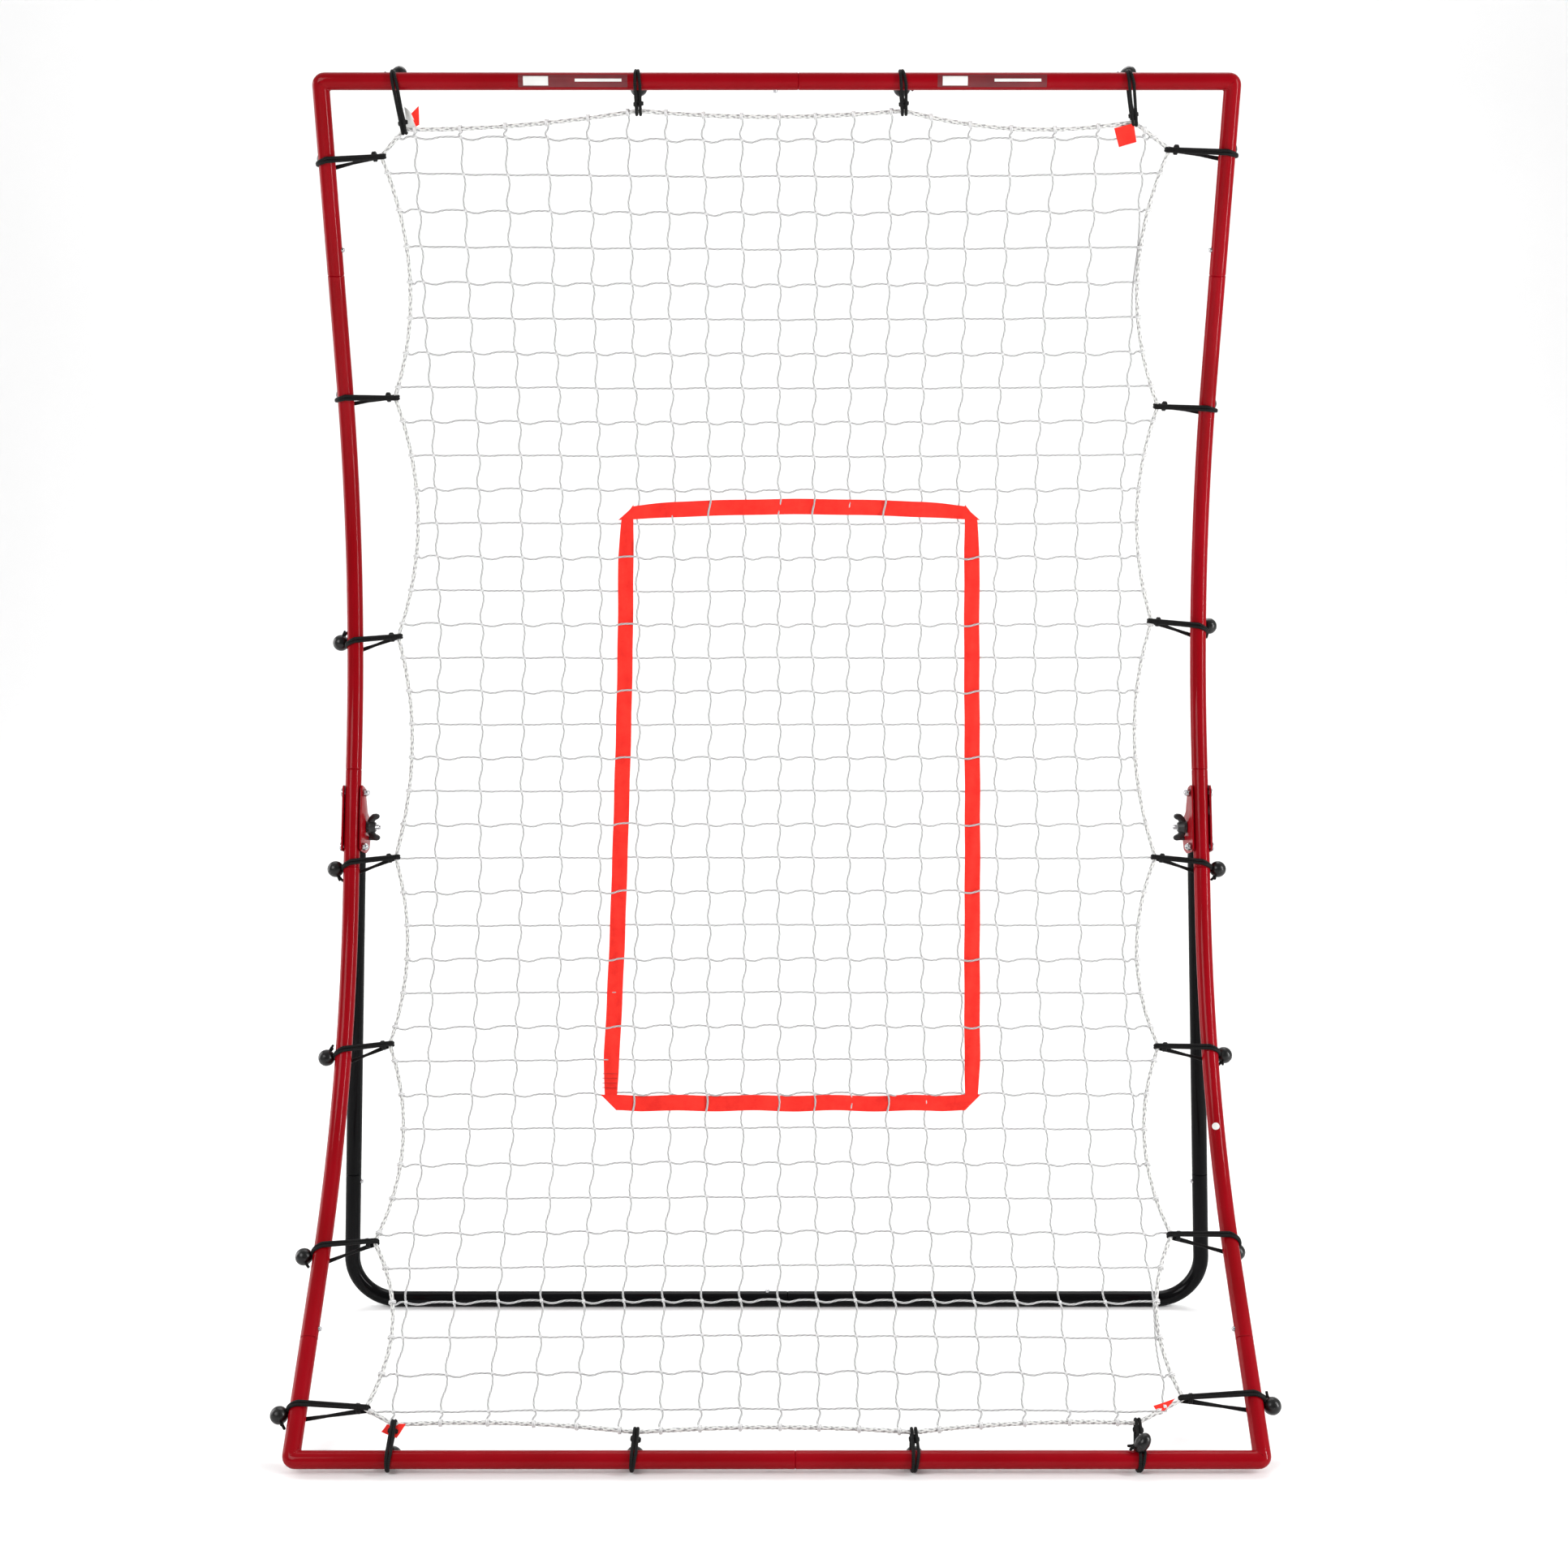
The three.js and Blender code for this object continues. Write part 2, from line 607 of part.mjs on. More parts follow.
// ---------------------------------------------------------------- fasteners
// A turned shape about the X axis through y and z: [distance from the tube's centre, radius].
function turnedAlongX(x, side, y, z, outline, sides = 12) {
  const points = outline.map(([h, r]) => new THREE.Vector2(r, h));
  const geometry = new THREE.LatheGeometry(points, sides);
  const inwards = vec(-side, 0, 0);
  const frame = new THREE.Matrix4().makeBasis(vec(0, side, 0), inwards, vec(0, 0, 1));
  return toSolid(geometry.applyMatrix4(frame.setPosition(vec(x, y, z))));
}

const SEAT = CHEEK_OUT + 0.3; // face of a head or nut that bears on a cheek

// Cross bolt of the bracket: a low round head outside and a domed nut inside.
function bracketBolt(name, side, s) {
  const { y, z } = profile(s);
  const outline = [
    [-SEAT - 3, 0], [-SEAT - 3, 3.6], [-SEAT - 1.6, 5.6], [-SEAT, 5.8], [-SEAT, BOLT_R],
    [SEAT, BOLT_R], [SEAT, 5.4], [SEAT + 4, 5.4], [SEAT + 7, 3.8], [SEAT + 8.4, 0],
  ];
  addMesh(name, turnedAlongX(side * HALF_WIDTH, side, y, z, outline), bareSteel());
}

function pivotBolt(name, side) {
  const outline = [
    [-SEAT - 4, 0], [-SEAT - 4, 5], [-SEAT - 2.5, 7.5], [-SEAT, 7.8], [-SEAT, PIVOT_R],
    [SEAT + 17, PIVOT_R], [SEAT + 18, PIVOT_R - 1], [SEAT + 18, 0],
  ];
  addMesh(name, turnedAlongX(side * HALF_WIDTH, side, pivot.y, pivot.z, outline), bareSteel());
}

// The wings stand along the frame's height at rest.
const WING = { span: 17.5, height: 17, width: 7, barrel: 8, length: 12, turn: Math.PI / 2 };

function wingNut(name, side) {
  const x = side * HALF_WIDTH;
  const bore = PIVOT_R + HOLE_CLEAR;
  const outline = [
    [SEAT, bore], [SEAT, WING.barrel], [SEAT + 4, WING.barrel], [SEAT + WING.length, 6.4],
    [SEAT + WING.length, bore], [SEAT, bore],
  ];
  const barrel = turnedAlongX(x, side, pivot.y, pivot.z, outline);
  const shape = new THREE.Shape();
  shape.moveTo(5.2, 3);
  shape.lineTo(9, 3);
  shape.quadraticCurveTo(15, 5, WING.span, WING.height - 3);
  shape.quadraticCurveTo(WING.span, WING.height + 1, WING.span - 5, WING.height);
  shape.quadraticCurveTo(10, 9, 5.2, 10);
  const solid = { depth: WING.width, bevelEnabled: false, curveSegments: 4 };
  const wing = new THREE.ExtrudeGeometry(shape, solid);
  wing.translate(0, SEAT, -WING.width / 2);
  const wings = [0, Math.PI].map((angle) => {
    const blade = wing.clone().rotateY(angle);
    const frame = new THREE.Matrix4().makeBasis(vec(0, side, 0), vec(-side, 0, 0), vec(0, 0, 1));
    blade.rotateY(-WING.turn);
    return toSolid(blade.applyMatrix4(frame.setPosition(vec(x, pivot.y, pivot.z))));
  });
  const clear = crossBar(x - 40, x + 40, pivot.y, pivot.z, bore, 12);
  addMesh(name, joined([barrel, ...wings]).subtract(clear), blackPlastic());
}

function lockPinMesh(name, side) {
  const outline = [
    [-SEAT - 11, 0], [-SEAT - 11, 3.4], [-SEAT - 9, 5.2], [-SEAT - 3, 5.2], [-SEAT, 4.4],
    [-SEAT, PIN_R], [SEAT + 8, PIN_R], [SEAT + 9.4, PIN_R - 1.4], [SEAT + 9.4, 0],
  ];
  addMesh(name, turnedAlongX(side * HALF_WIDTH, side, lockPin.y, lockPin.z, outline), bareSteel());
}

function hinges() {
  for (const [word, side] of [["left", -1], ["right", 1]]) {
    bracket(`hinge_bracket_${word}`, side);
    for (const [level, s] of Object.entries(BOLT_S)) {
      bracketBolt(`bracket_bolt_${level}_${word}`, side, s);
    }
    pivotBolt(`pivot_bolt_${word}`, side);
    wingNut(`wing_nut_${word}`, side);
    lockPinMesh(`lock_pin_${word}`, side);
  }
}

// ---------------------------------------------------------------- elastic cords
// The rope turns through the first and last loop of a side, so they are roomier.
const BAND = { width: 6, ballR: 10.5, ropeClear: 3.1, turnClear: 6.3 };

// The closed outline round the tube and the rope: two arcs joined by straight runs.
function bandOutline(reach, tubeR, ropeR) {
  const lean = Math.acos((tubeR - ropeR) / reach);
  const arc = (cx, radius, from, to, steps) =>
    Array.from({ length: steps + 1 }, (_, k) => {
      const angle = from + ((to - from) * k) / steps;
      return new THREE.Vector2(cx + radius * Math.cos(angle), radius * Math.sin(angle));
    });
  return [...arc(0, tubeR, lean, 2 * Math.PI - lean, 6), ...arc(reach, ropeR, -lean, lean, 3)];
}

// A doubled elastic cord looped round a tube and the rope, with its ball.
function ballCord(name, tube, rope, ball, ropeClear) {
  const { point: tubePoint, axis: tubeAxis, outwards, behind } = tube;
  const toRope = rope.clone().sub(tubePoint);
  const reach = toRope.length();
  toRope.normalize();
  const normal = toRope.clone().cross(tubeAxis).normalize();
  const width = toRope.clone().cross(normal);
  const facets = Math.cos(radians(16)); // keeps the flats of the loop clear of the tube
  const innerTube = (TUBE_R + CORD_CLEAR) / facets;
  const innerRope = ROPE_R + ropeClear;
  const shape = new THREE.Shape(bandOutline(reach, innerTube + CORD, innerRope + CORD));
  shape.holes.push(new THREE.Path(bandOutline(reach, innerTube, innerRope).reverse()));
  const band = new THREE.ExtrudeGeometry(shape, { depth: BAND.width, bevelEnabled: false });
  band.translate(0, 0, -BAND.width / 2);
  const frame = new THREE.Matrix4().makeBasis(toRope, normal, width.clone());
  if (frame.determinant() < 0) frame.makeBasis(toRope, normal, width.negate());
  band.applyMatrix4(frame.setPosition(tubePoint));
  const angle = radians(ball.angle);
  const distance = TUBE_R + BAND.ballR + 0.7;
  const sphere = new THREE.SphereGeometry(BAND.ballR, 8, 5);
  const place = tubePoint
    .clone()
    .addScaledVector(outwards, distance * Math.cos(angle))
    .addScaledVector(behind, distance * Math.sin(angle))
    .addScaledVector(tubeAxis, ball.shift);
  const bead = toSolid(sphere.translate(place.x, place.y, place.z));
  addMesh(name, toSolid(band).add(bead), elastic());
}

function cordRow(word, cords, tubeAt, endClear) {
  cords.forEach(([place, ropeX, ropeS, angle, shift], i) => {
    const atEnd = i === 0 || i === cords.length - 1;
    const ropeClear = atEnd ? endClear : BAND.ropeClear;
    const rope = onSide(ropeX, ropeS);
    ballCord(`ball_cord_${word}_${i + 1}`, tubeAt(place), rope, { angle, shift }, ropeClear);
  });
}

function elasticCords() {
  const onSideTube = (side) => (s) => ({
    point: onSide(side * HALF_WIDTH, s),
    axis: sideDirection(s),
    outwards: vec(side, 0, 0),
    behind: backwards(s),
  });
  const onRail = (s, way) => (x) => ({
    point: onSide(x, s),
    axis: vec(1, 0, 0),
    outwards: sideDirection(s).multiplyScalar(way),
    behind: backwards(s),
  });
  cordRow("left", LEFT_CORDS, onSideTube(-1), BAND.turnClear);
  cordRow("right", RIGHT_CORDS, onSideTube(1), BAND.turnClear);
  cordRow("top", TOP_CORDS, onRail(SIDE_LENGTH, 1), BAND.ropeClear);
  cordRow("front", FRONT_CORDS, onRail(0, -1), BAND.ropeClear);
}

// ---------------------------------------------------------------- rope, net and target
// Places of the rope in order: up the left side, along the top, down the right side, back.
function ropePlaces() {
  const weave = (cords, dips) =>
    cords.flatMap(([, x, s], i) => (dips[i] ? [[x, s], dips[i]] : [[x, s]]));
  const left = weave(LEFT_CORDS, LEFT_SCALLOPS);
  const top = weave(TOP_CORDS, TOP_SCALLOPS);
  const right = weave(RIGHT_CORDS, RIGHT_SCALLOPS);
  const front = weave(FRONT_CORDS, FRONT_SCALLOPS);
  return [...left, ...top, ...right.reverse(), ...front.reverse()];
}

// The closed line of the rope, laid flat: x across and y along the side.
const ropeLine = () =>
  new THREE.CatmullRomCurve3(ropePlaces().map(([x, s]) => vec(x, s, 0)), true, "centripetal");

// The rope is one loop whose two ends meet at a splice in a front scallop.
const SPLICE = 0.0004;

function edgeRope() {
  const line = ropeLine();
  const count = line.points.length * ROPE_STEPS;
  const start = (count - 1) / count;
  const marks = Array.from({ length: count + 1 }, (_, k) => start + k / count);
  marks[0] += SPLICE;
  marks[count] -= SPLICE;
  const stations = marks.map((mark) => {
    const u = mark % 1;
    const here = line.getPoint(u);
    const slope = line.getTangent(u);
    const tangent = sideDirection(here.y).multiplyScalar(slope.y);
    return { point: onSide(here.x, here.y), tangent: tangent.setX(slope.x).normalize() };
  });
  const geometry = new THREE.ExtrudeGeometry(roundSection(ROPE_R, 6), {
    steps: count,
    extrudePath: new StationPath(stations),
    bevelEnabled: false,
  });
  addMesh("edge_rope", toSolid(geometry), twine());
}

// A sheet that follows the side profile: from s0 to s1, between two depths behind it.
function curvedSlab(s0, s1, front, back) {
  const folds = [];
  for (let s = SHEET_STEP; s < SIDE_LENGTH; s += SHEET_STEP) if (s > s0 && s < s1) folds.push(s);
  const edge = (offset) =>
    [s0, ...folds, s1].map((s) => {
      const point = onSide(0, s).addScaledVector(backwards(s), offset);
      return new THREE.Vector2(point.y, point.z);
    });
  const shape = new THREE.Shape([...edge(back), ...edge(front).reverse()]);
  const geometry = new THREE.ExtrudeGeometry(shape, { depth: 2 * HALF_WIDTH, bevelEnabled: false });
  const upright = new THREE.Matrix4().makeBasis(vec(0, 1, 0), vec(0, 0, 1), vec(1, 0, 0));
  return toSolid(geometry.translate(0, 0, -HALF_WIDTH).applyMatrix4(upright));
}

// A straight prism along Y over an outline given as [x, s] places, from y = -PRISM.front.
const PRISM = { front: 200, depth: 1000 };

function prism(places) {
  const shape = new THREE.Shape(places.map(([x, s]) => new THREE.Vector2(x, profile(s).z)));
  const geometry = new THREE.ExtrudeGeometry(shape, { depth: PRISM.depth, bevelEnabled: false });
  const upright = new THREE.Matrix4().makeBasis(vec(1, 0, 0), vec(0, 0, 1), vec(0, -1, 0));
  return toSolid(geometry.translate(0, 0, PRISM.front - PRISM.depth).applyMatrix4(upright));
}

function netSheet() {
  const line = ropeLine();
  const points = line.getPoints(line.points.length * 2).slice(0, -1);
  const inset = points.map(({ x, y }, i) => {
    const before = points.at(i - 1);
    const after = points[(i + 1) % points.length];
    const along = vec(after.x - before.x, after.y - before.y, 0).normalize();
    const inward = vec(along.y, -along.x, 0);
    return [x + inward.x * NET_INSET, y + inward.y * NET_INSET];
  });
  const slab = curvedSlab(ROPE_MARGIN, SIDE_LENGTH - ROPE_MARGIN, -NET_THICK / 2, NET_THICK / 2);
  addMesh("rebound_net", prism(inset.reverse()).intersect(slab), twine());
}

function targetBand() {
  const { left, right, bottom, top, width, thick, cut } = TARGET;
  const outline = (inset, corner) => [
    [left + inset + corner, bottom + inset], [right - inset - corner, bottom + inset],
    [right - inset, bottom + inset + corner], [right - inset, top - inset - corner],
    [right - inset - corner, top - inset], [left + inset + corner, top - inset],
    [left + inset, top - inset - corner], [left + inset, bottom + inset + corner],
  ];
  const ring = prism(outline(0, cut)).subtract(prism(outline(width, cut / 2)));
  const front = -NET_THICK / 2 - 0.4;
  const below = SHEET_STEP * Math.floor(bottom / SHEET_STEP);
  const above = SHEET_STEP * Math.ceil(top / SHEET_STEP);
  const slab = curvedSlab(below, above, front - thick, front);
  addMesh("target_webbing", ring.intersect(slab), webbing());
}

// ---------------------------------------------------------------- the whole object
redFrame();
rearLeg();
hinges();
elasticCords();
edgeRope();
netSheet();
targetBand();

// The origin is under the middle of the object, on the floor.
const box = new THREE.Box3().setFromObject(assembly, true);
const middle = box.getCenter(new THREE.Vector3());
assembly.position.set(-middle.x, -middle.y, -box.min.z);

const part = new THREE.Group();
part.add(assembly);

export default part;
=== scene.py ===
import json
import random
from math import acos, atan2, ceil, cos, dist, hypot, pi, radians, sin, tan

import bpy
import numpy as np
from mathutils import Matrix, Vector


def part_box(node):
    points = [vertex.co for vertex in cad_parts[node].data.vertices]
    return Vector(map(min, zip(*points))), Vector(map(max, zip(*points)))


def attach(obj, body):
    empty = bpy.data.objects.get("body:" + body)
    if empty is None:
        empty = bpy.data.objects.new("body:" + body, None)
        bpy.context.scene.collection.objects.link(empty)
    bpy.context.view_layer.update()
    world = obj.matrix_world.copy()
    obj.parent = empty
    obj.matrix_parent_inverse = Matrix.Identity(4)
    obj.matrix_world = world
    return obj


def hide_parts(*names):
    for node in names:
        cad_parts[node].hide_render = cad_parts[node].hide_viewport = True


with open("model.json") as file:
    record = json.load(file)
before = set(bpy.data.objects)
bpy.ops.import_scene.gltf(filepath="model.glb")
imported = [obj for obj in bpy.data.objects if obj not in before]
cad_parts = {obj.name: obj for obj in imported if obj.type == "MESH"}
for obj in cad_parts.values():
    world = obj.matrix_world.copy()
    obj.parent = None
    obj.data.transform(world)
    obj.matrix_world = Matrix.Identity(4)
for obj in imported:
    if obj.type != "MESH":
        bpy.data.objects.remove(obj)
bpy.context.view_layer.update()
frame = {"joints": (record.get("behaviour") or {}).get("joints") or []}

MM = 0.001
rng = random.Random(44)

# ---- dimensions of the frame
TUBE_R = 10.25 * MM
WALL = 1.2 * MM
BORE_R = TUBE_R - WALL
SPIGOT_R = 8.5 * MM
SPIGOT = 42 * MM
HALF_WIDTH = 548.75 * MM
SIDE_WAYS = {"left": -1, "right": 1}
RIM = 0.85 * MM  # rounding at the end of a tube
SIDES = 48
STEP, LONG_STEP = 14 * MM, 30 * MM  # between the rings of a bent and of a straight tube
CORNER_ROUND = 1.5  # rounding of a corner's outer side, in tube radii

# Side profile: spans of (length, first angle, last angle), from the front rail to the top rail.
SPANS = [
    (0.243, 43.3, 43.3),
    (0.463, 43.3, 76.3),
    (0.214, 76.3, 76.3),
    (0.470, 76.3, 105.9),
    (0.357, 105.9, 105.9),
]
SIDE_LENGTH = sum(span[0] for span in SPANS)
LOWER_SEAM, HINGE_LOW_SEAM, HINGE_HIGH_SEAM, UPPER_SEAM = 0.145, 0.755, 0.882, 1.517
TOP_SEAM_X, FRONT_SEAM_X, REAR_SEAM_X = 0.026, 0.021, 0.015
PIVOT_S, PIVOT_BACK = 0.810, 0.028
REAR_BAR_Y = 0.513
LEG_HEAD, LEG_STRAIGHT, LEG_SEAM = 0.016, 0.040, 0.480
LEG_FOOT_X, LEG_SPLAY_R, LEG_BEND_R = 0.582, 0.150, 0.060
BOLT_S = {"lower": 0.782, "upper": 0.852}
CHEEK_IN = TUBE_R + 0.4 * MM
CHEEK_THICK = 2.2 * MM
CHEEK_OUT = CHEEK_IN + CHEEK_THICK
SEAT = CHEEK_OUT + 0.3 * MM  # face of a head or nut that bears on a cheek
BUTTON_R, BUTTON_OUT, BUTTON_HOLE = 3.0 * MM, 3.2 * MM, 3.35 * MM
BUTTON_BACK = 28 * MM  # how far a button on a cross tube stands from the joint
RAIL_HEIGHT = 15.35 * MM  # centre of the front rail above the floor

# Elastic cords, in millimetres: (place on the tube, rope x, rope s, ball angle, ball shift).
CORDS = {
    "left": [
        (62, -472, 60, 5, -9), (261, -487, 270, 5, -9), (518, -491, 527, 5, -8),
        (761, -492, 768, 10, -8), (1051, -493, 1056, 20, -3), (1366, -486, 1364, 75, -3),
        (1657, -482, 1660, 75, -3),
    ],
    "right": [
        (74, 468, 72, 10, -9), (275, 479, 279, 60, -9), (521, 484, 524, 25, -6),
        (761, 489, 768, 10, -8), (1070, 488, 1076, 40, 0), (1352, 486, 1353, 75, 0),
        (1666, 478, 1668, 75, 0),
    ],
    "top": [
        (-458, -452, 1691, 75, 0), (-167, -167, 1713, 115, 0), (152, 154, 1713, 115, 0),
        (425, 433, 1700, 75, 0),
    ],
    "front": [
        (-437, -437, 41, 125, 0), (-161, -160, 32, 125, 0), (157, 156, 32, 125, 0),
        (412, 412, 43, 235, 0),
    ],
}
# Innermost points of the rope between two cords: (x, s) in millimetres.
SCALLOPS = {
    "left": [(-453, 167), (-465, 399), (-474, 650), (-474, 934), (-465, 1188), (-458, 1487)],
    "right": [(449, 156), (458, 409), (462, 640), (465, 913), (466, 1209), (450, 1497)],
    "top": [(-302, 1697), (3, 1706), (290, 1692)],
    "front": [(-312, 43), (3, 38), (290, 43)],
}
CORD_R = 1.9 * MM
ROPE_R, ROPE_LAY = 2.5 * MM, 12 * MM  # its radius, and the length of one turn of its braid
BALL_R = 10.5 * MM

# Net: its strands up and across, and the place of the lowest row
TWINE_R = 1.2 * MM
COLUMNS, COLUMN_PITCH = 19, 0.0492
NET_MIDDLE, NET_REACH, NET_SPREAD = 0.003, 0.405, 0.038  # columns stand further apart towards the sides
ROWS, FIRST_S, ROW_PITCH = 38, 0.060, 0.0434
LOW_ROWS, LOW_PITCH = 9, 0.0449  # the lowest rows are stretched further apart


# ---- places on the frame
def profile(s):
    """y, z and angle of a side tube's centre at length s, from the front rail's centre."""
    y = z = 0.0
    angle = radians(SPANS[0][1])
    for length, first, last in SPANS:
        part = s if length > s or (length, first, last) == SPANS[-1] else length
        a = radians(first)
        turn = radians(last - first) * part / length
        if turn == 0:
            y += part * cos(a)
            z += part * sin(a)
        else:
            radius = part / turn
            y += radius * (sin(a + turn) - sin(a))
            z -= radius * (cos(a + turn) - cos(a))
        angle = a + turn
        s -= part
        if s <= 0:
            break
    return y, z, angle


def joint(name):
    return next(j for j in frame["joints"] if j["name"] == name)


RIGHT = Vector((1, 0, 0))


def back_of(s):
    angle = profile(s)[2]
    return Vector((0, sin(angle), -cos(angle)))


def along(s):
    angle = profile(s)[2]
    return Vector((0, cos(angle), sin(angle)))


pivot = Vector(joint("leg_fold")["pos_m"])
pivot.x = 0
pivot_y, pivot_z, _ = profile(PIVOT_S)
ORIGIN = pivot - (Vector((0, pivot_y, pivot_z)) + back_of(PIVOT_S) * PIVOT_BACK)


def on_side(x, s, behind=0.0):
    """A point at x across and s along the curved frame, behind its surface."""
    y, z, angle = profile(s)
    return Vector((x, ORIGIN.y + y + behind * sin(angle), ORIGIN.z + z - behind * cos(angle)))


def on_tube(side, s):
    return on_side(side * HALF_WIDTH, s)


# ---- mesh building
def put(name, data):
    """A new object with this data, linked into the scene."""
    obj = bpy.data.objects.new(name, data)
    bpy.context.scene.collection.objects.link(obj)
    return obj


class Shell:
    """Collects rings of points into one mesh. Its UV map has u round the piece and v in metres along it."""

    def __init__(self):
        self.points, self.faces, self.uvs, self.count = [], [], [], 0

    def grid(self, rings, along_v=None, closed=False, caps=True):
        """Rings of points (n, m, 3), each anticlockwise about the way the rings follow each other."""
        rings = np.asarray(rings, float)
        n, m, _ = rings.shape
        if along_v is None:
            steps = np.linalg.norm(np.diff(rings.mean(1), axis=0), axis=1)
            along_v = np.concatenate([[0], np.cumsum(steps)])
        v = np.append(along_v, along_v[-1] + (along_v[1] - along_v[0]))
        rows = n if closed else n - 1
        i, j = (g.ravel() for g in np.meshgrid(np.arange(rows), np.arange(m), indexing="ij"))
        i1, j1 = (i + 1) % n, (j + 1) % m
        quads = self.count + np.stack([i * m + j, i * m + j1, i1 * m + j1, i1 * m + j], -1)
        corners = np.stack([j, v[i], j + 1, v[i], j + 1, v[i + 1], j, v[i + 1]], -1).reshape(-1, 4, 2)
        corners[..., 0] /= m
        self.faces += quads.tolist()
        self.uvs += corners.reshape(-1, 2).tolist()
        if caps and not closed:
            for ring, order in ((0, -1), (n - 1, 1)):
                self.faces.append([self.count + ring * m + k for k in range(m)][::order])
                self.uvs += [[k / m, v[ring]] for k in range(m)][::order]
        self.points.append(rings.reshape(-1, 3))
        self.count += n * m

    def strand(self, points, radius, sides=10, closed=False, caps=True):
        """A round strand along points. The radius is one number or one for each point."""
        points = np.asarray(points, float)
        a, b = carried_frames(points, closed)
        self.grid(ring_stack(points, a, b, radius, sides), closed=closed, caps=caps)

    def mesh(self, name):
        data = bpy.data.meshes.new(name)
        data.from_pydata(np.concatenate(self.points).tolist(), [], self.faces)
        return data

    def piece(self, name, material, slot, replaces=(), body="frame"):
        data = self.mesh(name)
        layer = data.uv_layers.new(name="Along")
        layer.data.foreach_set("uv", np.asarray(self.uvs, np.float32).ravel())
        data.polygons.foreach_set("use_smooth", np.ones(len(data.polygons), bool))
        data.set_sharp_from_angle(angle=radians(38))
        data.materials.append(material)
        obj = put(name, data)
        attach(obj, body)
        if replaces:
            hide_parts(*replaces)
        return obj


def carried_frames(points, closed=False):
    """Two directions across the path at each point, carried along it without twist."""
    ahead = np.roll(points, -1, 0) - np.roll(points, 1, 0)
    if not closed:
        ahead[0] = points[1] - points[0]
        ahead[-1] = points[-1] - points[-2]
    ahead /= np.linalg.norm(ahead, axis=1)[:, None]
    a = np.zeros_like(points)
    start = np.eye(3)[np.argmin(np.abs(ahead[0]))]
    a[0] = start - ahead[0] * (start @ ahead[0])
    a[0] /= np.linalg.norm(a[0])
    for i in range(1, len(points)):
        step = a[i - 1] - ahead[i] * (a[i - 1] @ ahead[i])
        a[i] = step / np.linalg.norm(step)
    b = np.cross(ahead, a)
    if closed:
        last = a[-1] - ahead[0] * (a[-1] @ ahead[0])
        slip = atan2(last @ b[0], last @ a[0])
        turn = -slip * np.arange(len(points))[:, None] / len(points)
        a, b = a * np.cos(turn) + b * np.sin(turn), b * np.cos(turn) - a * np.sin(turn)
    return a, b


def ring_stack(points, a, b, radius, sides):
    """Rings round the points, with the radius given once, per ring, or per ring and place round it."""
    angle = np.arange(sides) * 2 * pi / sides
    radius = np.asarray(radius, float)
    r = radius.reshape(radius.shape + (1,) * (2 - radius.ndim)) * np.ones((len(points), sides))
    across = (r * np.cos(angle))[..., None] * a[:, None]
    return points[:, None] + across + (r * np.sin(angle))[..., None] * b[:, None]


def hollow(shell, points, a, b, outer, inner):
    """A tube with a wall: out along its outside and back along its bore."""
    outside = ring_stack(points, a, b, outer, SIDES)
    inside = ring_stack(points, a, b, inner, SIDES)
    shell.grid(np.concatenate([outside, inside[::-1]]), closed=True)


def filleted(points, radii, step=6 * MM):
    """A line through straight runs joined by arcs of the given radii at its inner points."""
    points = [Vector(p) for p in points]
    line = [points[0]]
    for before, here, after, radius in zip(points, points[1:], points[2:], radii):
        back, on = (before - here).normalized(), (after - here).normalized()
        turn = pi - back.angle(on)
        trim = radius * tan(turn / 2)
        centre = here + (back + on).normalized() * (radius / cos(turn / 2))
        start, finish = here + back * trim, here + on * trim
        count = max(2, int(radius * turn / step) + 1)
        for k in range(count + 1):
            line.append(centre + slerp(start - centre, finish - centre, k / count))
    line.append(points[-1])
    return line


def slerp(a, b, t):
    angle = a.angle(b)
    return (a * sin((1 - t) * angle) + b * sin(t * angle)) / sin(angle)


def resampled(points, step):
    """The same line with points at most a step apart."""
    out = [Vector(points[0])]
    for p, q in zip(points, points[1:]):
        count = max(1, ceil((Vector(q) - Vector(p)).length / step))
        out += [Vector(p).lerp(Vector(q), (k + 1) / count) for k in range(count)]
    return np.array(out)


def plate(shell, outline, thickness, place, bevel=0.35 * MM):
    """A flat plate with softened edges. place(u, v, w) puts a point of its own frame in the world."""
    flat = np.asarray(outline, float)
    ahead = np.roll(flat, -1, 0) - np.roll(flat, 1, 0)
    ahead /= np.linalg.norm(ahead, axis=1)[:, None]
    inward = np.stack([-ahead[:, 1], ahead[:, 0]], -1)
    layers = [(bevel, 0), (bevel * 0.3, bevel * 0.3), (0, bevel)]
    layers += [(inset, thickness - w) for inset, w in layers[::-1]]
    rings = [[place(*(p + n * inset), w) for p, n in zip(flat, inward)] for inset, w in layers]
    shell.grid(rings, along_v=np.linspace(0, thickness, len(layers)))


def rounded(outline, radius, step=1.2 * MM):
    """A closed flat outline with its corners rounded, as a list of (u, v)."""
    loop = []
    count = len(outline)
    for k in range(count):
        corner = [Vector((*outline[(k + d) % count], 0)) for d in (-1, 0, 1)]
        reach = 0.45 * min((corner[0] - corner[1]).length, (corner[2] - corner[1]).length)
        turn = pi - (corner[0] - corner[1]).angle(corner[2] - corner[1])
        fitting = min(radius, reach / max(tan(turn / 2), 1e-6))
        loop += filleted(corner, [fitting], step)[1:-1]
    return [(p.x, p.y) for p in loop]


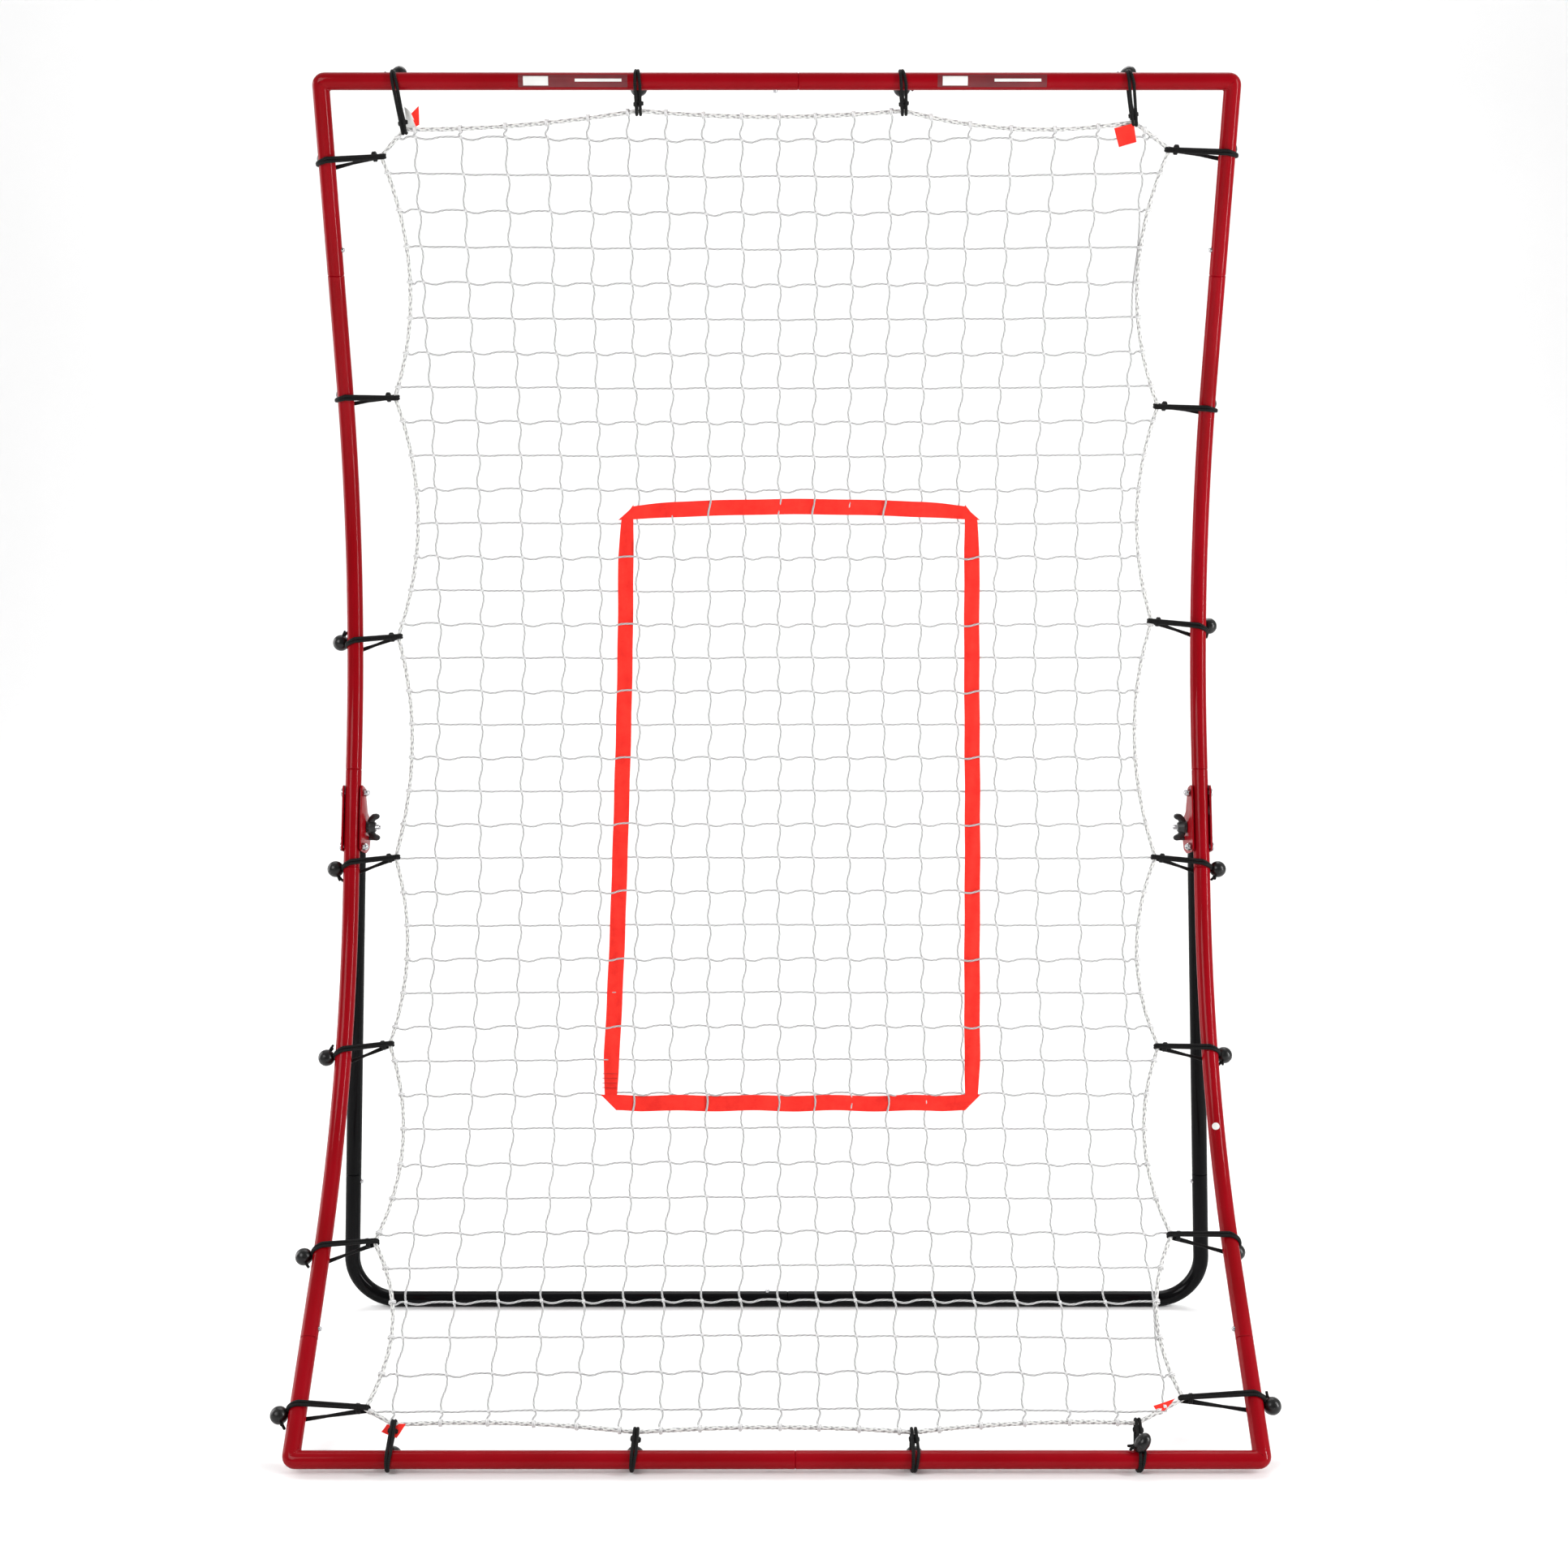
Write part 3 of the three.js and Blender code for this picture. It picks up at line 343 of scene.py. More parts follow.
def turned(shell, centre, axis, outline, sides=40, hexes=()):
    """A turned shape about an axis: outline of (height, radius). Rings listed in hexes are six-sided."""
    axis = Vector(axis).normalized()
    a = axis.orthogonal().normalized()
    if abs(axis.x) > 0.9:
        a = Vector((0, 0, 1))
    b = axis.cross(a)
    points = np.array([Vector(centre) + axis * h for h, _ in outline])
    angle = np.arange(sides) * 2 * pi / sides
    flat = (angle % (pi / 3)) - pi / 6
    radius = [
        r * (cos(pi / 6) / np.cos(flat) if k in hexes else np.ones(sides))
        for k, (_, r) in enumerate(outline)
    ]
    n = len(outline)
    rings = ring_stack(points, np.tile(a, (n, 1)), np.tile(b, (n, 1)), np.array(radius), sides)
    distance = np.cumsum([0] + [dist(p, q) for p, q in zip(outline, outline[1:])])
    shell.grid(rings, along_v=distance)


def shoulder(foot, tip, steps=6):
    """Outline points of a domed shoulder from one (height, radius) to another."""
    out = []
    for k in range(steps + 1):
        t = k / steps * pi / 2
        height = foot[0] + (tip[0] - foot[0]) * sin(t)
        out.append((height, foot[1] + (tip[1] - foot[1]) * (1 - cos(t))))
    return out


def on_seat(way, *pairs):
    """Outline points from (height off a cheek, radius) in millimetres: way 1 inwards, -1 outwards."""
    return [(way * (SEAT + h * MM), r * MM) for h, r in pairs]


def drill(obj, centre, direction, radius, depth):
    """Cuts a round hole into a piece, from centre along direction."""
    cutter = Shell()
    turned(cutter, centre, direction, [(0, radius), (depth, radius)], 32)
    tool = put("cutter", cutter.mesh("cutter"))
    cut = obj.modifiers.new("hole", "BOOLEAN")
    cut.operation, cut.object, cut.solver = "DIFFERENCE", tool, "EXACT"
    bpy.context.view_layer.update()
    result = bpy.data.meshes.new_from_object(obj.evaluated_get(bpy.context.evaluated_depsgraph_get()))
    obj.modifiers.clear()
    obj.data = result
    bpy.data.objects.remove(tool)


# ---- materials
class Nodes:
    """A small helper that builds one node material."""

    def __init__(self, name, **sockets):
        self.material = bpy.data.materials.new(name)
        self.material.use_nodes = True
        self.tree = self.material.node_tree
        self.shader = self.tree.nodes["Principled BSDF"]
        for key, value in sockets.items():
            self.shader.inputs[key.replace("_", " ")].default_value = value

    def add(self, kind, inputs=None, **settings):
        node = self.tree.nodes.new("ShaderNode" + kind)
        for key, value in settings.items():
            setattr(node, key, value)
        for key, value in (inputs or {}).items():
            if isinstance(value, bpy.types.NodeSocket):
                self.tree.links.new(value, node.inputs[key])
            else:
                node.inputs[key].default_value = value
        return node

    def link(self, output, key):
        self.tree.links.new(output, self.shader.inputs[key])

    def coordinates(self, which):
        return self.add("TexCoord").outputs[which]

    def math(self, operation, a, b=0.0):
        return self.add("Math", {0: a, 1: b}, operation=operation).outputs[0]

    def noise(self, scale, detail, roughness=0.55):
        inputs = {"Vector": self.coordinates("Object"), "Scale": scale, "Detail": detail}
        inputs["Roughness"] = roughness
        return self.add("TexNoise", inputs).outputs["Fac"]

    def ramp(self, factor, stops):
        node = self.add("ValToRGB", {"Fac": factor})
        ends = node.color_ramp.elements
        for extra in stops[2:]:
            ends.new(extra[0])
        for element, (place, colour) in zip(ends, sorted(stops)):
            element.position = place
            element.color = (*colour, 1)
        return node.outputs["Color"]

    def range(self, factor, low, high, start=0.0, stop=1.0):
        inputs = {"Value": factor, "From Min": start, "From Max": stop, "To Min": low, "To Max": high}
        return self.add("MapRange", inputs).outputs["Result"]

    def bump(self, height, distance, strength=1.0, under=None):
        inputs = {"Height": height, "Distance": distance, "Strength": strength}
        if under is not None:
            inputs["Normal"] = under
        return self.add("Bump", inputs).outputs["Normal"]

    def colour(self, factor, *stops):
        self.link(self.ramp(factor, stops), "Base Color")

    def rough(self, scale, detail, low, high, start=0.3, stop=0.7, roughness=0.55):
        self.link(self.range(self.noise(scale, detail, roughness), low, high, start, stop), "Roughness")

    def twist(self, turns, pitch):
        """A wave that winds round the piece, with this many starts and pitch along it."""
        split = self.add("SeparateXYZ", {0: self.coordinates("UV")})
        round_it = self.math("MULTIPLY", split.outputs["X"], 2 * pi * turns)
        along_it = self.math("MULTIPLY", split.outputs["Y"], 2 * pi / pitch)
        return self.math("SINE", self.math("ADD", round_it, along_it))


def grey(level):
    return (level, level, level)


def paint(name, dark, light, flake, gloss, coat):
    """Gloss powder coat: slow colour drift, soft orange peel and a little handling wear."""
    m = Nodes(name, Coat_Weight=coat, Coat_Roughness=0.04, Specular_IOR_Level=gloss)
    m.colour(m.noise(7, 3), (0.3, dark), (0.72, light))
    m.rough(45, 5, 0.3, 0.45, 0.35, 0.75, 0.6)
    peel = m.bump(m.noise(240, 1), 0.00005, 0.3)
    m.link(m.bump(m.noise(flake, 2), 0.00002, 0.2, peel), "Normal")
    return m.material


def metal(name, tint, low, high):
    m = Nodes(name, Metallic=1.0)
    m.colour(m.noise(70, 6), (0.3, tint), (0.7, tuple(min(1, c * 1.25) for c in tint)))
    m.rough(420, 5, low, high)
    m.link(m.bump(m.noise(900, 3), 0.00008, 0.3), "Normal")
    return m.material


def plastic(name, low, high, dark, light, gloss=0.5):
    m = Nodes(name, Specular_IOR_Level=gloss)
    m.colour(m.noise(35, 6), (0.3, dark), (0.75, light))
    m.rough(160, 6, low, high)
    m.link(m.bump(m.noise(1400, 2), 0.00006, 0.5), "Normal")
    return m.material


def sheath():
    """Woven sheath of an elastic cord: two crossing twists."""
    m = Nodes("elastic_sheath", Specular_IOR_Level=0.12)
    weave = m.math("MULTIPLY", m.twist(5, 0.0042), m.twist(-5, 0.0042))
    m.colour(m.range(weave, 0, 1, -1, 1), (0.2, grey(0.002)), (0.9, grey(0.011)))
    m.rough(300, 4, 0.5, 0.75, 0, 1)
    m.link(m.bump(weave, 0.0002, 0.8), "Normal")
    return m.material


def braid():
    """Off-white braided rope with grey flecks."""
    m = Nodes("braided_rope", Sheen_Weight=0.3, Sheen_Roughness=0.5)
    weave = m.math("MAXIMUM", m.twist(4, ROPE_LAY), m.twist(-4, ROPE_LAY))
    flecks = m.math("MULTIPLY", m.twist(1, 2 * ROPE_LAY), m.twist(-2, ROPE_LAY))
    fleck = m.math("GREATER_THAN", flecks, 0.55)
    base = m.ramp(m.range(weave, 0, 1, -0.4, 1), [(0.0, (0.25, 0.25, 0.245)), (0.6, (0.66, 0.66, 0.645))])
    grey_yarn = m.ramp(m.noise(700, 3), [(0.3, grey(0.24)), (0.7, grey(0.42))])
    mix = m.add("MixRGB", {"Fac": fleck, "Color1": base, "Color2": grey_yarn})
    m.link(mix.outputs["Color"], "Base Color")
    m.rough(300, 4, 0.65, 0.85, 0, 1)
    m.link(m.bump(m.noise(2600, 4), 0.0001, 0.6, m.bump(weave, 0.0004, 0.6)), "Normal")
    return m.material


def twine(name, dark, light):
    """Twisted white twine in the grey colours given, which are painted shade; the lighter copy is painted
    light.
    """
    m = Nodes(name, Sheen_Weight=0.1, Sheen_Roughness=0.5, Specular_IOR_Level=0.2)
    lay = m.twist(3, 0.0072)
    m.colour(m.range(lay, 0, 1, -1, 1), (0.1, grey(dark)), (0.6, grey(light)))
    m.rough(300, 4, 0.6, 0.85, 0, 1)
    m.link(m.bump(m.noise(3000, 3), 0.00008, 0.5, m.bump(lay, 0.0003, 0.8)), "Normal")
    return m.material


def webbing(name, dark, light):
    """Flat woven webbing: fine ribs across it and yarns along it."""
    m = Nodes(name, Sheen_Weight=0.05, Sheen_Roughness=0.4, Specular_IOR_Level=0.15)
    split = m.add("SeparateXYZ", {0: m.coordinates("UV")})
    rib = m.math("SINE", m.math("MULTIPLY", split.outputs["Y"], 2 * pi / 0.0011))
    yarn = m.math("SINE", m.math("MULTIPLY", split.outputs["X"], 2 * pi * 34))
    weave = m.math("MULTIPLY", rib, yarn)
    tone = m.math("ADD", m.math("MULTIPLY", m.range(weave, 0, 1, -1, 1), 0.45), m.noise(45, 7, 0.7))
    m.colour(tone, (0.45, dark), (0.95, light))
    m.rough(120, 4, 0.55, 0.8, 0, 1)
    m.link(m.bump(weave, 0.00015, 0.7, m.bump(m.noise(90, 3), 0.0008, 0.3)), "Normal")
    return m.material


red_paint = paint("red_paint", (0.2, 0.0006, 0.003), (0.255, 0.0012, 0.006), 1500, 0.02, 0.16)
black_paint = paint("black_paint", (0.0012, 0.0012, 0.0015), (0.0026, 0.0026, 0.003), 1500, 0.02, 0.14)
zinc = metal("zinc_plate", (0.40, 0.40, 0.41), 0.16, 0.32)
dark_steel = metal("dark_steel", (0.05, 0.05, 0.052), 0.22, 0.4)
black_plastic = plastic("black_plastic", 0.35, 0.5, grey(0.008), grey(0.02))
ball_plastic = plastic("ball_plastic", 0.22, 0.38, grey(0.003), grey(0.008), 0.3)
elastic = sheath()
rope_weave = braid()
# painted shade: the white twine is grey on the net's strands; its knots and hitches get a lighter copy,
# painted light
net_twine = twine("net_twine", 0.30, 0.52)
lit_knot_twine = twine("lit_knot_twine", 0.5, 0.74)
target_red = webbing("target_red", (0.70, 0.014, 0.010), (0.92, 0.036, 0.022))
stitch_red = webbing("stitched_red", (0.30, 0.010, 0.008), (0.55, 0.02, 0.014))
label_white = plastic("label_white", 0.35, 0.55, (0.62, 0.62, 0.6), (0.74, 0.74, 0.72))
label_dark = plastic("label_dark", 0.35, 0.55, (0.10, 0.004, 0.008), (0.16, 0.008, 0.012))


# ---- red frame tubes
def tube_rings(ends, places):
    """(place, outer radius, inner radius) of a tube's rings. ends says of each end if it is a spigot."""

    def cap(edge, way, male):
        plain = [(edge, TUBE_R - RIM, BORE_R), (edge - way * RIM, TUBE_R, BORE_R)]
        if not male:
            return plain
        tip = edge + way * SPIGOT
        slim = SPIGOT_R - WALL
        reduced = [(place, SPIGOT_R, slim) for place in (tip - way * RIM, edge + way * RIM)]
        return [(tip, SPIGOT_R - RIM, slim)] + reduced + plain

    middle = [(s, TUBE_R, BORE_R) for s in places[1:-1]]
    return cap(places[0], -1, ends[0]) + middle + cap(places[-1], 1, ends[1])[::-1]


def between(a, b, step):
    count = max(2, int(abs(b - a) / step))
    return [a + (b - a) * k / count for k in range(count + 1)]


def side_tube(name, side, first, last, ends):
    rings = tube_rings(ends, between(first, last, STEP))
    centres, behind = [], []
    for s, _, _ in rings:
        held = min(max(s, first), last)
        centres.append(on_tube(side, held) + along(held) * (s - held))
        behind.append(back_of(held))
    _, outer, inner = zip(*rings)
    shell = Shell()
    across = np.tile((1.0, 0, 0), (len(rings), 1))
    hollow(shell, np.array(centres), across, np.array(behind), outer, inner)
    return shell.piece(name + "_skin", red_paint, "red_paint", [name])


def corner_tube(name, side, corner_s, seam_s, seam_x, rail_male, side_male):
    """Half a cross tube and the end of a side, mitred where they meet, with its weld."""
    corner = on_tube(side, corner_s)
    rail = RIGHT * -side
    down = along(corner_s) * (-1 if seam_s > corner_s else 1)
    third = rail.cross(down)
    clear = 2 * TUBE_R
    upright = tube_rings([side_male, False], between(-abs(seam_s - corner_s), -clear, LONG_STEP))[:-2]
    level = tube_rings([False, rail_male], between(clear, HALF_WIDTH - side * seam_x, LONG_STEP))[2:]
    upright.append((-clear, TUBE_R, BORE_R))
    level.insert(0, (clear, TUBE_R, BORE_R))
    rings = [(corner + down * s, -rail, outer, inner) for s, outer, inner in upright]
    rings += [(corner + rail * s, down, outer, inner) for s, outer, inner in level]
    centres, a_way, outer, inner = (np.array(part) for part in zip(*rings))
    b_way = np.tile(np.array(third), (len(rings), 1))
    bend = len(upright)
    skins = []
    for radii, radius in ((outer, TUBE_R), (inner, BORE_R)):
        skin = ring_stack(centres, a_way, b_way, radii, SIDES)
        skins.append(np.concatenate([skin[:bend], mitre_rings(corner, down, rail, radius), skin[bend:]]))
    shell = Shell()
    shell.grid(np.concatenate([skins[0], skins[1][::-1]]), closed=True)
    obj = shell.piece(name + "_skin", red_paint, "red_paint", [name])
    weld_bead(name.replace("corner_tube", "weld"), corner, down - rail, third)
    return obj


def mitre_rings(corner, down, rail, radius):
    """Rings through a mitred corner whose outer side is rounded off and whose inner side is sharp."""
    angle = np.arange(SIDES)[:, None] * 2 * pi / SIDES
    third = np.array(rail.cross(down))
    down, rail = np.array(down), np.array(rail)
    sharp = np.array(corner) + radius * (np.cos(angle) * (down - rail) + np.sin(angle) * third)
    fall = CORNER_ROUND * radius * (1.02 + np.cos(angle)) / 2
    turns = np.linspace(0, pi / 2, 8)
    return [sharp + fall * ((1 - cos(turn)) * rail - (1 - sin(turn)) * down) for turn in turns]


def weld_bead(name, corner, stretched, third):
    """A rippled bead along the inner side of the mitre."""
    angle = np.linspace(0.52 * pi, 1.48 * pi, 110)
    ring = (
        np.array(corner)
        + TUBE_R * np.cos(angle)[:, None] * np.array(stretched)
        + TUBE_R * np.sin(angle)[:, None] * np.array(third)
    )
    ripple = 1.05 * MM * (1 + 0.16 * np.sin(angle * 24) + 0.08 * np.sin(angle * 5 + 1))
    shell = Shell()
    shell.strand(ring, ripple * np.sin(angle - 0.5 * pi) ** 0.3, 10)
    shell.piece(name, red_paint, "red_paint")


def red_frame():
    tubes = {}
    for word, side in SIDE_WAYS.items():
        male = side > 0
        name = f"top_corner_tube_{word}"
        tubes[name] = corner_tube(name, side, SIDE_LENGTH, UPPER_SEAM, TOP_SEAM_X, male, False)
        name = f"bottom_corner_tube_{word}"
        tubes[name] = corner_tube(name, side, 0, LOWER_SEAM, FRONT_SEAM_X, male, True)
        for name, first, last, ends in (
            (f"lower_side_tube_{word}", LOWER_SEAM, HINGE_LOW_SEAM, (False, True)),
            (f"hinge_tube_{word}", HINGE_LOW_SEAM, HINGE_HIGH_SEAM, (False, False)),
            (f"upper_side_tube_{word}", HINGE_HIGH_SEAM, UPPER_SEAM, (True, True)),
        ):
            tubes[name] = side_tube(name, side, first, last, ends)
        inwards = RIGHT * -side
        for level, s, holder in (
            ("upper", UPPER_SEAM + 0.031, "top_corner_tube"),
            ("lower", LOWER_SEAM + 0.013, "lower_side_tube"),
        ):
            centre = on_tube(side, s)
            snap_button(f"snap_button_{level}_{word}", tubes[f"{holder}_{word}"], centre, inwards, along(s))
    for node, x, s, out, holder in (
        ("snap_button_top_rail", TOP_SEAM_X, SIDE_LENGTH, -along(SIDE_LENGTH), "top_corner_tube_left"),
        ("snap_button_front_rail", FRONT_SEAM_X, 0, back_of(0), "bottom_corner_tube_left"),
    ):
        snap_button(node, tubes[holder], on_side(x - BUTTON_BACK, s), out, RIGHT)


# ---- snap buttons
def snap_button(node, tube, centre, out, way):
    """A domed steel button on its leaf spring, and its hole through one wall of the tube."""
    drill(tube, centre, out, BUTTON_HOLE, 2 * TUBE_R)
    shell = Shell()
    top = TUBE_R + BUTTON_OUT
    outline = [(5 * MM, BUTTON_R)] + shoulder((top - 1.9 * MM, BUTTON_R), (top, 0.3 * MM), 8)
    turned(shell, centre, out, outline, 32)
    across = out.cross(way).normalized()
    low, high, half = -4 * MM, 20 * MM, 2.5 * MM
    leaf = rounded([(-half, low), (half, low), (half, high), (-half, high)], 2.4 * MM)

    def place(u, v, w):
        return Vector(centre) + across * u - way * v + out * (4.6 * MM + w)

    plate(shell, leaf, 0.8 * MM, place, 0.15 * MM)
    shell.piece(node + "_stud", zinc, "zinc_steel", [node], node)


# ---- rear leg
floor_z = ORIGIN.z - RAIL_HEIGHT
rear_bar = Vector((0, ORIGIN.y + REAR_BAR_Y, floor_z + TUBE_R))
leg_down = (rear_bar - pivot).normalized()
leg_length = (rear_bar - pivot).length


def leg_path(side):
    """The centre of a leg from its head, down to the floor and along the rear bar to its seam."""
    x = side * HALF_WIDTH
    points = [
        pivot - leg_down * LEG_HEAD + RIGHT * x,
        pivot + leg_down * LEG_STRAIGHT + RIGHT * x,
        rear_bar + RIGHT * side * LEG_FOOT_X,
        rear_bar + RIGHT * REAR_SEAM_X,
    ]
    return resampled(filleted(points, [LEG_SPLAY_R, LEG_BEND_R], 5 * MM), 16 * MM)


def leg_tube(node, points, tail_male):
    """A tube along points. A male tail is reduced where it enters its neighbour."""
    first = (points[0] - points[1]) / np.linalg.norm(points[0] - points[1])
    last = (points[-1] - points[-2]) / np.linalg.norm(points[-1] - points[-2])
    slim = SPIGOT_R - WALL
    rim = [(-RIM, TUBE_R, BORE_R), (0, TUBE_R - RIM, BORE_R)]
    tail = list(rim)
    if tail_male:
        tail += [(0, SPIGOT_R, slim), (SPIGOT - RIM, SPIGOT_R, slim), (SPIGOT, SPIGOT_R - RIM, slim)]
    rings = [(points[0] + first * h, outer, inner) for h, outer, inner in rim[::-1]]
    rings += [(p, TUBE_R, BORE_R) for p in points[1:-1]]
    rings += [(points[-1] + last * h, outer, inner) for h, outer, inner in tail]
    centres, outer, inner = (np.array(part) for part in zip(*rings))
    shell = Shell()
    hollow(shell, centres, *carried_frames(centres), outer, inner)
    return shell.piece(node + "_skin", black_paint, "black_paint", [node], "leg")


def rear_leg():
    feet = {}
    for word, side in SIDE_WAYS.items():
        path = leg_path(side)
        run = np.concatenate([[0], np.cumsum(np.linalg.norm(np.diff(path, axis=0), axis=1))])
        splay = hypot(1, (LEG_FOOT_X - HALF_WIDTH) / (leg_length - LEG_STRAIGHT))
        seam = LEG_HEAD + LEG_STRAIGHT + (LEG_SEAM - LEG_STRAIGHT) * splay
        at = np.array([np.interp(seam, run, path[:, k]) for k in range(3)])
        upper = np.array([*path[run < seam - 2 * MM], at])
        lower = np.array([at, *path[run > seam + 2 * MM]])
        leg_tube(f"rear_leg_tube_{word}", upper, True)
        feet[word] = leg_tube(f"rear_foot_tube_{word}", lower, side > 0)
        slope = Vector(lower[1] - lower[0]).normalized()
        out = RIGHT * -side
        out = (out - slope * out.dot(slope)).normalized()
        snap_button(f"snap_button_leg_{word}", feet[word], Vector(at) + slope * 0.011, out, -slope)
    centre = rear_bar + RIGHT * (REAR_SEAM_X - BUTTON_BACK)
    snap_button("snap_button_rear_bar", feet["left"], centre, Vector((0, 0, 1)), RIGHT)


# ---- hinge brackets
# Outline of a cheek in millimetres: (behind the tube's centre, above the hinge axis).
CHEEK = [
    (-8, -34), (32, -34), (52, -27), (57, -14), (57, 3), (48, 14), (34, 20), (16, 50), (-8, 52),
]
PIN_HOLE = 3.35 * MM
SPARE_TURN = 27  # degrees about the pivot from the lock pin to its spare hole


def at_hinge(side):
    """Returns place(behind, above, inwards) for one side's bracket."""
    centre = on_tube(side, PIVOT_S)
    behind, up, inwards = back_of(PIVOT_S), along(PIVOT_S), RIGHT * -side
    return lambda u, v, w: centre + behind * u + up * v + inwards * w


def bracket(word, side):
    place = at_hinge(side)
    outline = rounded([(u * MM, v * MM) for u, v in CHEEK], 6 * MM)[::-side]
    bevel = 0.4 * MM
    shell = Shell()
    for start in (CHEEK_IN, -CHEEK_OUT):
        plate(shell, outline, CHEEK_THICK, lambda u, v, w: place(u, v, start + w), bevel)
    half, low, high = 12.6 * MM, 26 * MM, 49 * MM
    web = [(-half, low), (half, low), (half, high), (-half, high)][::-side]
    plate(shell, web, CHEEK_THICK, lambda w, v, u: place(13.9 * MM - u, v, w), bevel)
    obj = shell.piece(f"hinge_bracket_{word}_plates", red_paint, "red_paint", [f"hinge_bracket_{word}"])
    low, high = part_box(f"lock_pin_{word}")
    centre = (low + high) / 2
    arm = Vector((0, centre.y - pivot.y, centre.z - pivot.z))
    spare = Matrix.Rotation(radians(SPARE_TURN), 3, "X") @ arm
    start = Vector((side * (HALF_WIDTH + 0.03), pivot.y + spare.y, pivot.z + spare.z))
    drill(obj, start, RIGHT * -side, PIN_HOLE, 0.06)


def fasteners(word, side):
    inwards = RIGHT * -side
    for level, s in BOLT_S.items():
        centre = on_tube(side, s)
        head = shoulder(*on_seat(-1, (1, 5.8), (3, 0.4)))[::-1]
        shank = on_seat(-1, (0, 5.8), (0, 3)) + on_seat(1, (0, 3), (7, 2.9))
        nut = on_seat(1, (0, 4.6), (0.5, 5), (4, 5)) + shoulder(*on_seat(1, (4.1, 4.4), (8.4, 0.3)))
        shell = Shell()
        turned(shell, centre, inwards, head + shank)
        turned(shell, centre, inwards, nut, 42, hexes=(0, 1, 2))
        node = f"bracket_bolt_{level}_{word}"
        shell.piece(node + "_turned", zinc, "zinc_steel", [node])
    centre = pivot + RIGHT * side * HALF_WIDTH
    head = shoulder(*on_seat(-1, (2.2, 7.8), (4, 0.5)))[::-1] + on_seat(-1, (0, 7.8), (0, 3.5))
    thread = [pair for k in range(17) for pair in on_seat(1, (k, 3.5), (k + 0.5, 3.1))]
    shell = Shell()
    turned(shell, centre, inwards, head + thread + on_seat(1, (18, 2.6)))
    shell.piece(f"pivot_bolt_{word}_turned", zinc, "zinc_steel", [f"pivot_bolt_{word}"])
    cap = Shell()
    dome = shoulder(*on_seat(-1, (2, 8.5), (5.2, 0.8)))[::-1]
    turned(cap, centre, inwards, dome + on_seat(-1, (0.2, 8.5)))
    cap.piece(f"pivot_bolt_{word}_cap", black_plastic, "black_plastic")
    wing_nut(f"wing_nut_{word}", centre, inwards)
    lock_pin(f"lock_pin_{word}", side, inwards)


# Outline of a wing in millimetres: (off the nut's axis, off the seat).
WING = [
    (5.5, 1.2), (9, 1.4), (13, 3.5), (17.3, 8), (17.9, 13), (16.4, 16.6), (13, 17.3), (10.6, 15), (9, 11.2),
    (5.5, 10),
]
WING_THICK = 5.6 * MM


def wing_nut(node, centre, inwards):
    shell = Shell()
    barrel = on_seat(1, (0, 3.7), (0, 7.4), (0.6, 8), (4, 8), (5, 7.2), (11, 6.5), (12, 5.8), (12, 3.7))
    turned(shell, centre, inwards, barrel)
    outline = rounded([(u * MM, v * MM) for u, v in WING], 3 * MM, 0.8 * MM)
    for up in (1, -1):
        out = Vector((0, 0, up))
        third = out.cross(inwards)

        def place(u, v, w):
            return centre + out * u + inwards * (SEAT + v) + third * (w - WING_THICK / 2)

        plate(shell, outline, WING_THICK, place, 1.6 * MM)
    shell.piece(node + "_moulded", black_plastic, "black_plastic", [node], node)


def lock_pin(node, side, inwards):
    low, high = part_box(node)
    centre = Vector((side * HALF_WIDTH, (low.y + high.y) / 2, (low.z + high.z) / 2))
    shell = Shell()
    shaft = on_seat(-1, (6, 2.9), (1, 3)) + shoulder(*on_seat(1, (7.4, 3), (9.4, 0.4)))
    turned(shell, centre, inwards, shaft, 32)
    shell.piece(node + "_shaft", dark_steel, "zinc_steel", [node], node)
    knob = Shell()
    grip = shoulder(*on_seat(-1, (7, 5.2), (11, 1.2)))[::-1]
    turned(knob, centre, inwards, grip + on_seat(-1, (3, 5.2), (1.2, 4.6), (0.3, 4.2)), 32)
    ribs = 9
    for k in range(ribs):  # for the fingers, round the knob
        angle = k * 2 * pi / ribs
        start = centre + Vector((0, cos(angle), sin(angle))) * 5.1 * MM
        knob.strand([start - inwards * (SEAT + h * MM) for h in (7.4, 5.5, 3.2)], 0.55 * MM, 8)
    knob.piece(node + "_knob", black_plastic, "black_plastic", (), node)


# ---- rope line
def rope_spans():
    """The rope's loop as spans of flat places: (cord, innermost point or None, next cord)."""
    spans = []
    for word, way in (("left", 1), ("top", 1), ("right", -1), ("front", -1)):
        cords = [np.array((x, s)) * MM for _, x, s, _, _ in CORDS[word]][::way]
        dips = [np.array(dip) * MM for dip in SCALLOPS[word]][::way] + [None]
        spans += list(zip(cords, dips))
    cords = [cord for cord, _ in spans]
    return [(cord, dip, after) for (cord, dip), after in zip(spans, cords[1:] + cords[:1])]


def rope_line(steps, softening):
    """The closed flat line of the rope: an arc through each dip, and a soft kink at each cord."""
    out = []
    for start, dip, finish in rope_spans():
        pull = (start + finish) / 2
        if dip is not None:
            t = np.linalg.norm(dip - start)
            t /= t + np.linalg.norm(finish - dip)
            pull = (dip - (1 - t) ** 2 * start - t * t * finish) / (2 * t * (1 - t))
        for t in np.arange(steps) / steps:
            out.append((1 - t) ** 2 * start + 2 * t * (1 - t) * pull + t * t * finish)
    line = np.array(out)
    for _ in range(softening):
        line = (np.roll(line, 1, 0) + 2 * line + np.roll(line, -1, 0)) / 4
    return line


rope_flat = rope_line(160, 10)


